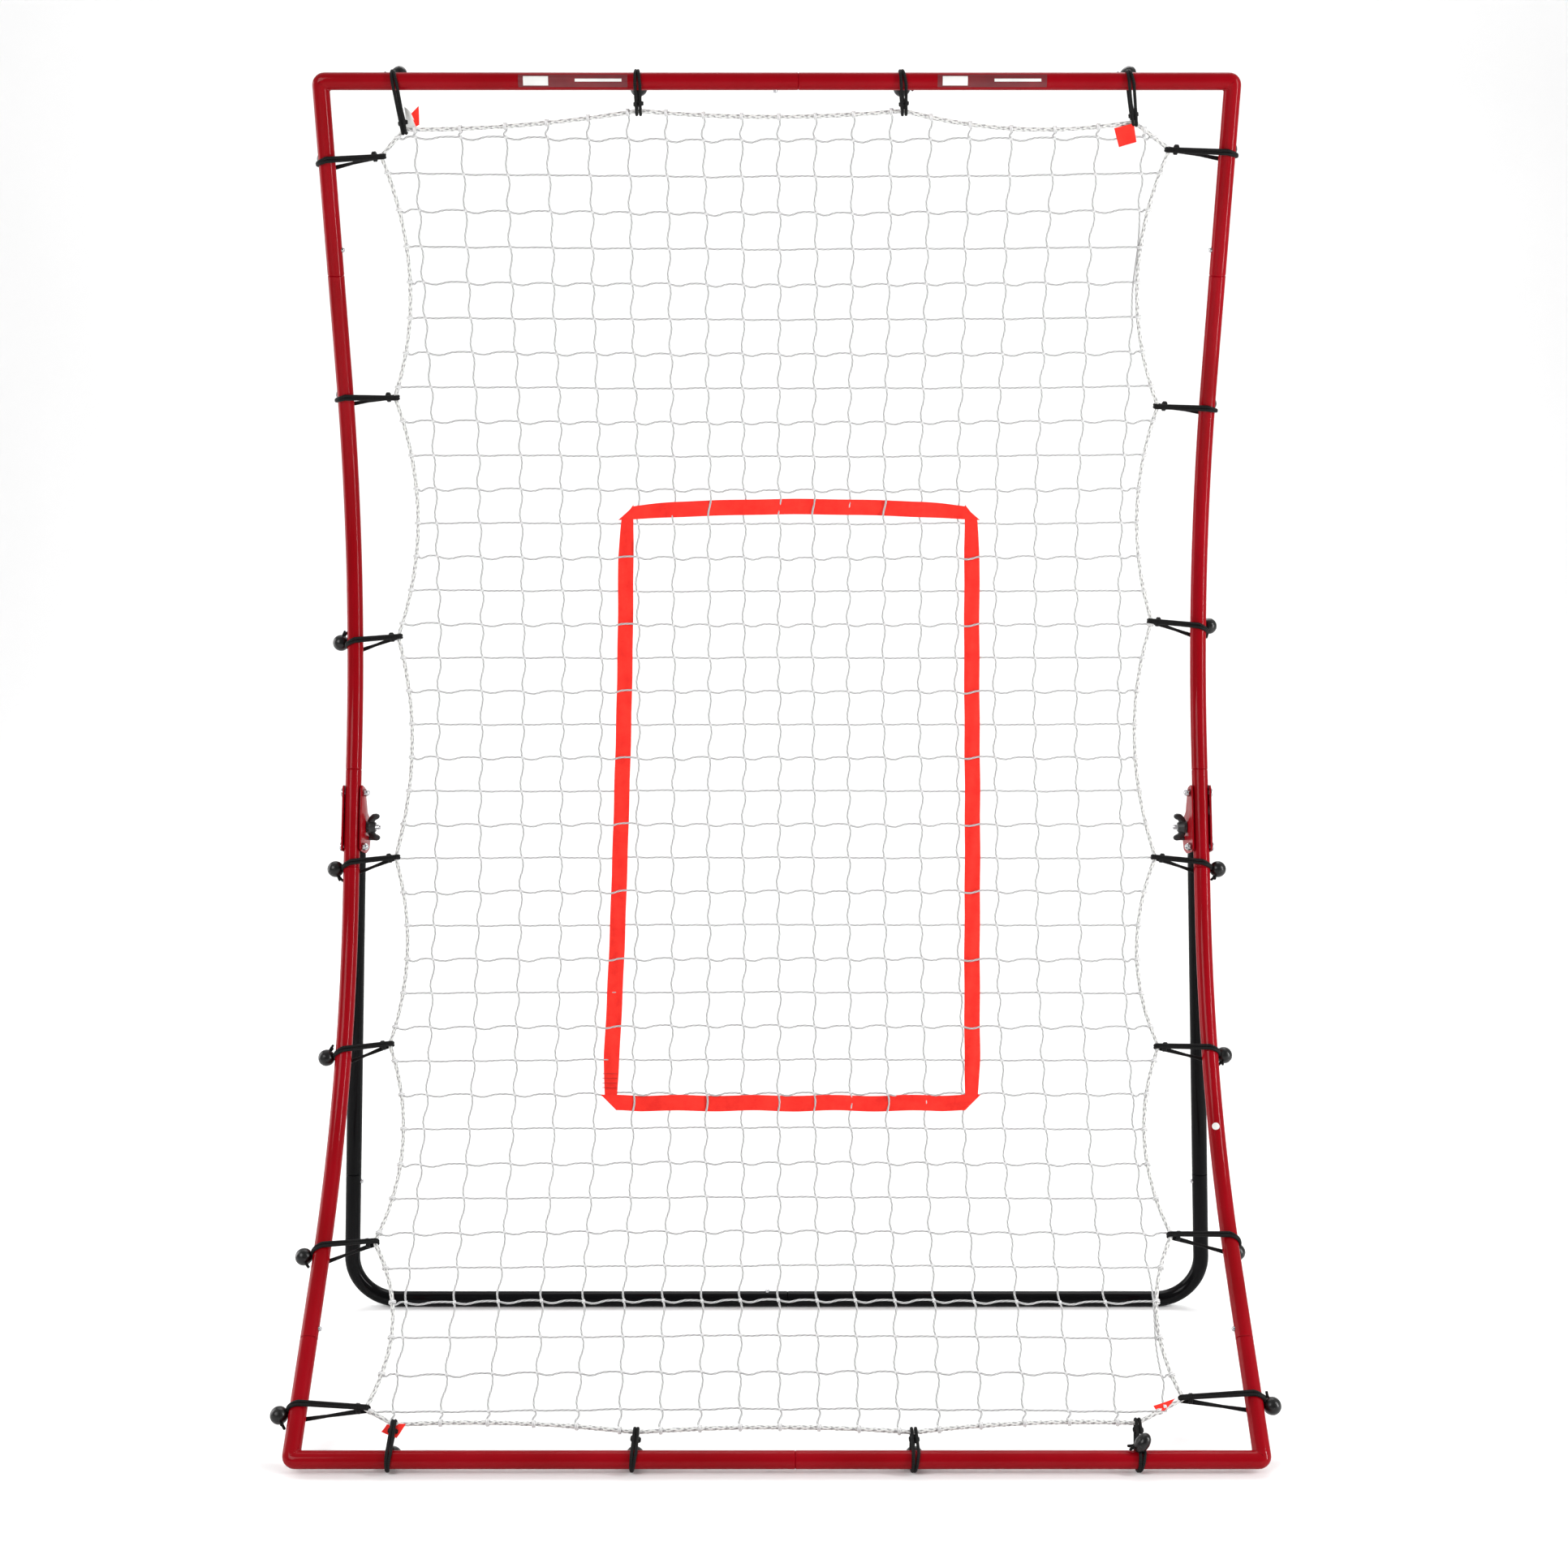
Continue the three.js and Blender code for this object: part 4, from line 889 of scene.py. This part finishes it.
def rope_crossing(axis, value, pick):
    """The point of the rope's line where x (axis 0) or s (axis 1) has this value; pick chooses one."""
    here, after = rope_flat, np.roll(rope_flat, -1, 0)
    lies = (here[:, axis] - value) * (after[:, axis] - value) <= 0
    found = []
    for p, q in zip(here[lies], after[lies]):
        t = (value - p[axis]) / (q[axis] - p[axis]) if q[axis] != p[axis] else 0
        found.append(p + (q - p) * t)
    return pick(found, key=lambda p: p[1 - axis]) if found else None


def edge_rope():
    line = np.array([on_side(x, s) for x, s in rope_flat])
    line = resampled([*line, line[0]], 1.6 * MM)[:-1]
    angle = np.arange(24) * 2 * pi / 24
    run = np.arange(len(line))[:, None] * 1.6 * MM
    wind = 2 * pi * run / ROPE_LAY
    crown = np.maximum(np.sin(4 * angle + wind), np.sin(4 * angle - wind))
    loose = 1 + 0.05 * np.sin(run * 31) + 0.04 * np.sin(run * 83 + 1)
    shell = Shell()
    shell.strand(line, ROPE_R * loose * (0.93 + 0.07 * crown), 24, closed=True)
    shell.piece("edge_rope_braid", rope_weave, "braided_rope", ["edge_rope"])


# ---- net
def net_node(i, j):
    """Flat place of a knot: column i from the left, row j from the bottom."""
    mix = random.Random(100 * i + j)
    across = (i - (COLUMNS - 1) / 2) / ((COLUMNS - 1) / 2)
    x = NET_MIDDLE + NET_REACH * across + NET_SPREAD * across**3 + mix.uniform(-0.9, 0.9) * MM
    s = FIRST_S + min(j, LOW_ROWS) * LOW_PITCH + max(0, j - LOW_ROWS) * ROW_PITCH
    s += mix.uniform(-0.8, 0.8) * MM
    s += 4 * MM * across * across * (j / ROWS - 0.5) * 2
    x += 0.7 * MM * sin(j * 0.9 + i * 0.35)
    return x, s, mix.uniform(-0.8, 0.8) * MM


def waved(a, b, wave, rebound, axis):
    """Flat points from knot a to knot b: a slack wave along the axis, its second half by rebound."""
    out = []
    for k in range(12):
        t = (k / 12) ** 1.15
        place = [p + (q - p) * t for p, q in zip(a, b)]
        place[axis] += wave * sin(2 * pi * t) * (1 if t < 0.5 else rebound)
        out.append(place)
    return out


def net_strand(net, ties, line, axis, wave, steadiest, rebound, way_at):
    """One strand of the net through the knots of line, hitched to the rope at both ends."""
    first = rope_crossing(axis, line[0][axis], min)
    last = rope_crossing(axis, line[-1][axis], max)
    nodes = [(*first, 0), *line, (*last, 0)]
    waves = [wave * rng.uniform(steadiest, 1.15) for _ in nodes]
    points = []
    for a, b, size in zip(nodes, nodes[1:], waves):
        points += waved(a, b, size, rebound, axis)
    points.append(nodes[-1])
    net.strand([on_side(x, s, d) for x, s, d in points], TWINE_R, 8)
    for x, s in (first, last):
        hitch(ties, x, s, way_at(s))


def hitch(shell, x, s, way):
    """Two turns of twine round the rope where a strand of the net meets it."""
    centre = on_side(x, s)
    a = Vector((way.z, 0, 0)) if abs(way.x) < 0.5 else along(s)
    a = (a - way * a.dot(way)).normalized()
    b = way.cross(a)
    turns, steps = 2, 26
    reach = ROPE_R + 0.7 * TWINE_R
    loop = []
    for k in range(steps + 1):
        angle = 2 * pi * turns * k / steps
        shift = (k / steps - 0.5) * 2.6 * TWINE_R
        loop.append(centre + (a * cos(angle) + b * sin(angle)) * reach + way * shift)
    shell.strand(loop, TWINE_R, 7)


def knot(shell, x, s, d):
    """A small overhand knot where two strands cross: two tight loops of twine."""
    centre = on_side(x, s, d)
    up, behind = along(s), back_of(s)
    for tilt, reach in ((0.8, 1.75), (-0.7, 1.6)):
        way = RIGHT * cos(tilt) + up * sin(tilt)
        other = up * cos(tilt) - RIGHT * sin(tilt)
        loop = []
        for k in range(9):
            angle = 2 * pi * k / 9
            loop.append(
                centre + way * reach * MM * cos(angle) + behind * 1.5 * MM * sin(angle)
                + other * 0.7 * MM * sin(angle + 1)
            )
        shell.strand(loop, 1.05 * MM, 6, closed=True)


def rebound_net():
    net, ties, knots = Shell(), Shell(), Shell()
    clear = 7 * MM  # no knot stands nearer to the rope
    inner = {}
    for i, j in np.ndindex(COLUMNS, ROWS):
        x, s, d = net_node(i, j)
        low, high = (rope_crossing(0, x, pick) for pick in (min, max))
        left, right = (rope_crossing(1, s, pick) for pick in (min, max))
        if low is None or left is None:
            continue
        if left[0] + clear < x < right[0] - clear and low[1] + clear < s < high[1] - clear:
            inner[i, j] = (x, s, d)
    for j in range(ROWS):
        row = [inner[i, j] for i in range(COLUMNS) if (i, j) in inner]
        net_strand(net, ties, row, 1, (-2.9 if j % 2 else -0.7) * MM, 0.85, 0.25, along)
    for i in range(COLUMNS):
        column = [inner[i, j] for j in range(ROWS) if (i, j) in inner]
        net_strand(net, ties, column, 0, -1.9 * MM, 0.8, 0.9, lambda s: RIGHT)
    for x, s, d in inner.values():
        knot(knots, x, s, d)
    # painted shade and light: the strands get the darker copy of the twine, the knots and hitches the
    # lighter copy
    net.piece("rebound_net_strands", net_twine, "net_twine", ["rebound_net"])
    knots.piece("rebound_net_knots", lit_knot_twine, "net_twine")
    ties.piece("rebound_net_hitches", lit_knot_twine, "net_twine")


# ---- target webbing
STRAP = 20 * MM
STRAP_THICK = 0.9 * MM
# Corners of the target's outer edge: (x, s)
TARGET = {
    "lower_left": (-0.221, 0.441), "lower_right": (0.256, 0.441),
    "upper_left": (-0.205, 1.227), "upper_right": (0.263, 1.227),
}


def thin(row):
    """A ring round a row of places (x, s, depth) in a sheet of webbing, its front first."""
    front = [on_side(x, s, depth - STRAP_THICK / 2) for x, s, depth in row]
    return front + [on_side(x, s, depth + STRAP_THICK / 2) for x, s, depth in row[::-1]]


def strap(shell, start, finish, inward, lift, pitch, phase, bow, pinch):
    """One side of the target, woven through the net, with both ends folded at 45 degrees.

    lift is the depth of its folded ends, bow its curve outwards, pinch how far its ends are drawn in."""
    start, finish, inward = (np.array(v, float) for v in (start, finish, inward))
    length = np.linalg.norm(finish - start)
    way = (finish - start) / length
    lanes, steps = 9, int(length / (4 * MM))
    pinched, flat_end, easing = 75 * MM, 20 * MM, 30 * MM
    rings = []
    for k in range(steps + 1):
        row = []
        for lane in range(lanes):
            w = STRAP * lane / (lanes - 1)
            trim = STRAP - w  # the outer edge is folded away furthest
            run = trim + (length - 2 * trim) * (k / steps)
            to_end = min(run, length - run)
            tight = pinch * max(0, 1 - to_end / pinched) ** 1.5 * (1 - w / STRAP)
            x, s = start + way * run + inward * (w + tight - bow * sin(pi * run / length))
            fade = min(1, max(0, (to_end - flat_end) / easing))
            weave = -2.5 * MM * cos(pi * (run / pitch) + phase)
            crown = 0.35 * MM * sin(pi * lane / (lanes - 1)) + 0.5 * MM * sin(run * 47 + lane)
            row.append((x, s, weave * fade + lift * (1 - fade) - crown * fade))
        rings.append(thin(row))
    if way[0] * inward[1] < way[1] * inward[0]:
        rings = [ring[::-1] for ring in rings]
    shell.grid(rings)


def target():
    shell = Shell()
    for first, last, inward, lift, pitch, phase, bow, pinch in (
        ("lower_left", "upper_left", (1, 0), -2.4, ROW_PITCH, 0.4, -2, 7),
        ("lower_right", "upper_right", (-1, 0), -2.4, ROW_PITCH, 1.1, 4, 6),
        ("upper_left", "upper_right", (0, -1), -3.4, COLUMN_PITCH, 0.9, 7, 5),
        ("lower_left", "lower_right", (0, 1), -3.4, COLUMN_PITCH, 0.2, 0, 0),
    ):
        strap(shell, TARGET[first], TARGET[last], inward, lift * MM, pitch, phase, bow * MM, pinch * MM)
    ribbon = shell.piece("target_ribbon", target_red, "red_webbing", ["target_webbing"])
    sewn = Shell()
    for s in (0.470, 0.476, 0.482, 0.488):
        line = [on_side(-0.2195 + k * 1.9 * MM, s, -4.3 * MM - 0.3 * MM * (k % 2)) for k in range(11)]
        sewn.strand(line, 0.45 * MM, 6)
    stitches = sewn.piece("target_ribbon_stitches", stitch_red, "red_webbing")


# ---- elastic cords
def racetrack(reach, tube_r, rope_r, steps):
    """A loop round the rope (at reach) and the tube (at 0), in its own plane.

    Each point is (along, across, 1 at the rope to 0 at the tube, 1 in front to 0 behind)."""
    lean = acos((tube_r - rope_r) / reach)
    by_rope = (reach + rope_r * cos(lean), rope_r * sin(lean))
    by_tube = (tube_r * cos(lean), tube_r * sin(lean))
    runs = []
    for k in range(1, steps):
        place = [p + (q - p) * k / steps for p, q in zip(by_rope, by_tube)]
        runs.append((*place, 1 - k / steps))
    out = []
    for k in range(10):  # round the rope, from behind it to its front
        angle = lean * (2 * k / 9 - 1)
        out.append((reach + rope_r * cos(angle), rope_r * sin(angle), 1.0, k / 9))
    out += [(x, y, near, 1.0) for x, y, near in runs]
    for k in range(17):  # round the tube
        angle = lean + (2 * pi - 2 * lean) * k / 16
        out.append((tube_r * cos(angle), tube_r * sin(angle), 0.0, 1 - k / 16))
    return out + [(x, -y, near, 0.0) for x, y, near in runs[::-1]]


def elastic_loop(shell, tube, rope, axis, front, spread, drop):
    """One turn of elastic: spread is its place beside its twin, drop how far it sags behind the tube."""
    way = rope - tube
    reach = way.length
    way.normalize()
    normal = (front - way * front.dot(way)).normalized()
    side = axis - way * axis.dot(way)
    side = (side - normal * side.dot(normal)).normalized()
    points = []
    for r, h, near_rope, fronted in racetrack(reach, TUBE_R + CORD_R + 0.1 * MM, ROPE_R + CORD_R, 8):
        shift = spread * (1 - 0.25 * near_rope) - drop * (1 - fronted) * (1 - near_rope)
        points.append(tube + way * r + normal * h + side * shift)
    shell.strand(resampled([*points, points[0]], 2.6 * MM)[:-1], CORD_R, 10, closed=True)
    return way, normal, side


def ball_cord(node, tube, rope, axis, outwards, behind, angle, shift):
    shell = Shell()
    drop = rng.uniform(7, 11) * MM
    across = 1.95 * MM
    if "front" in node or "top" in node:
        drop, across = rng.uniform(-2, 3) * MM, rng.uniform(1.95, 3.2) * MM
    front = -behind
    for spread, lower in ((-across, 0), (across, 6 * MM)):
        way, normal, side = elastic_loop(shell, tube, rope, axis, front, spread, drop + lower)
    neck = []
    for k in range(34):  # two turns that draw the strands together beside the rope
        turn = 2 * pi * 2 * k / 33
        at = rope - way * (ROPE_R + 7.5 * MM - 3.8 * MM * k / 33)
        neck.append(at + normal * 4.9 * MM * cos(turn) + side * 4.6 * MM * sin(turn))
    shell.strand(neck, CORD_R * 0.92, 10)
    shell.piece(node + "_elastic", elastic, "elastic_cord", [node])
    bead = radians(angle)
    out = outwards * cos(bead) + behind * sin(bead)
    centre = tube + out * (TUBE_R + BALL_R + 0.7 * MM) + axis * shift * MM
    ball(node, centre, out, axis, tube)


def ball(node, centre, out, axis, tube):
    """A ball with its moulded seam, and the knotted ends of the elastic at its hole."""
    shell = Shell()
    way = (out * 0.45 + axis * rng.choice((-1, 1))).normalized()
    outline = []
    for k in range(29):
        latitude = -pi / 2 + pi * (k + 1) / 30
        r = BALL_R * (1 + (0.012 if k == 14 else 0))
        outline.append((r * sin(latitude), r * cos(latitude)))
    turned(shell, centre, way, outline, 40)
    shell.piece(node + "_ball", ball_plastic, "elastic_cord")
    tails = Shell()
    cross = way.cross(out).normalized()
    for turn in (-1, 1):
        base = centre - way * (BALL_R - 1.5 * MM) + cross * turn * 1.7 * MM
        bend = cross * turn * rng.uniform(1.5, 4) * MM + out * rng.uniform(-2, 1) * MM
        length = rng.uniform(5, 8) * MM
        path = [base - way * length * t + bend * t * t for t in np.linspace(0, 1, 7)]
        tails.strand(path, [CORD_R * 0.9] * 6 + [CORD_R * 0.75], 10)
    inwards = (tube - centre).normalized()
    for turn in (-1, 1):
        aside = cross * turn * 1.9 * MM
        start = centre + inwards * (BALL_R - 2 * MM) + aside
        finish = tube - inwards * (TUBE_R + 0.5 * MM) + aside
        tails.strand([start, start.lerp(finish, 0.5), finish], CORD_R, 10)
    tails.piece(node + "_tails", elastic, "elastic_cord")


def elastic_cords():
    for word, cords in CORDS.items():
        for k, (place, rope_x, rope_s, angle, shift) in enumerate(cords):
            if word in SIDE_WAYS:
                side, s = SIDE_WAYS[word], place * MM
                tube, axis, outwards = on_tube(side, s), along(s), RIGHT * side
            else:
                s, sign = (SIDE_LENGTH, 1) if word == "top" else (0, -1)
                tube, axis, outwards = on_side(place * MM, s), RIGHT, along(s) * sign
            rope = on_side(rope_x * MM, rope_s * MM)
            ball_cord(f"ball_cord_{word}_{k + 1}", tube, rope, axis, outwards, back_of(s), angle, shift)


def tag(name, corners, behind, curl, material=target_red):
    """A scrap of webbing sewn to the rope: four flat corners (x, s) in millimetres."""
    p = [np.array(c) * MM for c in corners]
    rings = []
    for t in np.linspace(0, 1, 9):
        left, right = p[0] + (p[3] - p[0]) * t, p[1] + (p[2] - p[1]) * t
        row = []
        for q in np.linspace(0, 1, 9):
            x, s = left + (right - left) * q
            row.append((x, s, behind * MM + curl * MM * (sin(2.6 * t + 1.1 * q) + 0.4 * sin(5 * q + t))))
        rings.append(thin(row))
    shell = Shell()
    shell.grid(rings)
    obj = shell.piece(name, material, "red_webbing")


def tags():
    tag("corner_tag_top_left", [(-437, 1695), (-433, 1697), (-432, 1719), (-443, 1709)], -2.5, 1.5)
    scrap = [(-449, 1694), (-435, 1692), (-443, 1713), (-450, 1718)]
    tag("corner_tag_top_left_end", scrap, -1.2, 1.5, label_white)
    tag("corner_tag_top_right", [(416, 1671), (437, 1677), (432, 1699), (409, 1693)], -3.5, 1.5)
    tag("corner_tag_bottom_left", [(-450, 32), (-432, 25), (-423, 41), (-445, 41)], -1.5, 1.2)
    tag("corner_tag_bottom_right", [(432, 62), (458, 71), (444, 56), (436, 56)], -3.5, 1.2)


def label(name, material, x0, x1, middle, reach, lift):
    """A thin label on the top rail: middle degrees above its foremost line, and reach degrees each way."""
    shell = Shell()
    centre = on_side(0, SIDE_LENGTH)
    front, up = -back_of(SIDE_LENGTH), along(SIDE_LENGTH)
    rings = []
    for x in np.linspace(x0, x1, 5):
        outer, inner = [], []
        for q in np.linspace(-1, 1, 13):
            angle = radians(middle + reach * q)
            way = front * cos(angle) + up * sin(angle)
            outer.append(centre + RIGHT * x + way * (TUBE_R + lift + 0.16 * MM))
            inner.append(centre + RIGHT * x + way * (TUBE_R + lift - 0.05 * MM))
        rings.append((outer + inner[::-1])[::-1])
    shell.grid(rings)
    shell.piece(name, material, "red_paint")


def labels():
    for word, x in (("left", -0.310), ("right", 0.193)):
        label(f"rail_label_{word}", label_dark, x, x + 0.131, 8, 44, 0.05 * MM)
        label(f"rail_label_{word}_block", label_white, x + 0.006, x + 0.036, 8, 30, 0.2 * MM)
        label(f"rail_label_{word}_bar", label_white, x + 0.068, x + 0.124, 12, 9, 0.2 * MM)
    dot = Shell()
    s = 0.418
    centre = on_side(HALF_WIDTH, s)
    out = (Vector((-0.25, 0, 0)) - back_of(s)).normalized()
    outline = [(0, 4.6 * MM), (1.0 * MM, 4.6 * MM), (1.1 * MM, 4.4 * MM)]
    turned(dot, centre + out * (TUBE_R - 0.9 * MM), out, outline, 32)
    dot.piece("tube_number_dot", label_white, "red_paint")


# ---- studio
def floor():
    """A pale floor that rises into a back wall."""
    m = Nodes("studio_floor", Roughness=0.9, Specular_IOR_Level=0.1)
    m.colour(m.noise(0.6, 2), (0.2, grey(0.88)), (0.8, grey(0.9)))
    front, back, rise, radius, wide = -8.0, 4.5, 7.0, 2.0, 14.0
    line = [(front, 0.0), (back - radius, 0.0)]
    for k in range(1, 24):
        angle = pi / 2 * k / 24
        line.append((back - radius + radius * sin(angle), radius - radius * cos(angle)))
    line += [(back, radius), (back, rise)]
    verts = [(x, y, z) for y, z in line for x in (-wide, wide)]
    data = bpy.data.meshes.new("studio_floor")
    data.from_pydata(verts, [], [(2 * k, 2 * k + 1, 2 * k + 3, 2 * k + 2) for k in range(len(line) - 1)])
    data.polygons.foreach_set("use_smooth", np.ones(len(data.polygons), bool))
    data.materials.append(m.material)
    put("studio_floor", data)


def room():
    """White surroundings, dimmer on the player's side."""
    world = bpy.data.worlds.new("studio")
    bpy.context.scene.world = world
    world.use_nodes = True
    tree = world.node_tree
    sky = tree.nodes["Background"]
    split = tree.nodes.new("ShaderNodeSeparateXYZ")
    tree.links.new(tree.nodes.new("ShaderNodeTexCoord").outputs["Generated"], split.inputs[0])
    dim_front = tree.nodes.new("ShaderNodeMapRange")
    for key, value in (("From Min", -0.7), ("From Max", 0.5), ("To Min", 0.30), ("To Max", 0.90)):
        dim_front.inputs[key].default_value = value
    tree.links.new(split.outputs["Y"], dim_front.inputs["Value"])
    tree.links.new(dim_front.outputs["Result"], sky.inputs["Strength"])
    sky.inputs["Color"].default_value = (1, 1, 1, 1)
    bpy.context.scene.view_settings.view_transform = "Standard"


def lamps():
    middle = Vector((0, 0, 0.8))
    for name, place, goal, wide, tall, power in (
        ("key", (3.2, -1.3, 1.5), middle, 0.4, 2.8, 115),
        ("soft", (-2.6, -3.2, 3.0), middle, 2.2, 2.2, 110),
        ("side", (-3.2, 1.2, 1.3), middle, 1.6, 2.6, 60),
        ("rim", (0.5, 2.6, 4.2), middle, 2.5, 2.5, 60),
        ("backdrop", (0, 1.8, 5.5), Vector((0, 5, 1.5)), 6.0, 1.0, 90),
    ):
        light = bpy.data.lights.new(name, "AREA")
        light.shape = "RECTANGLE"
        light.energy, light.size, light.size_y = power, wide, tall
        lamp = put(name, light)
        lamp.location = place
        lamp.rotation_euler = (goal - Vector(place)).to_track_quat("-Z", "Y").to_euler()
        lamp.visible_camera = False


# The camera, as the photograph's viewpoint
EYE_BACK, EYE_HEIGHT = 2.272, 1.063  # in front of the front rail's centre, above the floor
EYE_DOWN = 7  # degrees below level
LENS, SENSOR, SHIFT = 48.45, 36, 0.00466


def camera():
    data = bpy.data.cameras.new("camera")
    data.sensor_width, data.lens, data.shift_x = SENSOR, LENS, SHIFT
    eye = put("camera", data)
    eye.location = (0, ORIGIN.y - EYE_BACK, floor_z + EYE_HEIGHT)
    eye.rotation_euler = (radians(90 - EYE_DOWN), 0, 0)
    bpy.context.scene.camera = eye


camera()
red_frame()
rear_leg()
for word, side in SIDE_WAYS.items():
    bracket(word, side)
    fasteners(word, side)
edge_rope()
rebound_net()
target()
elastic_cords()
tags()
labels()
floor()
room()
lamps()
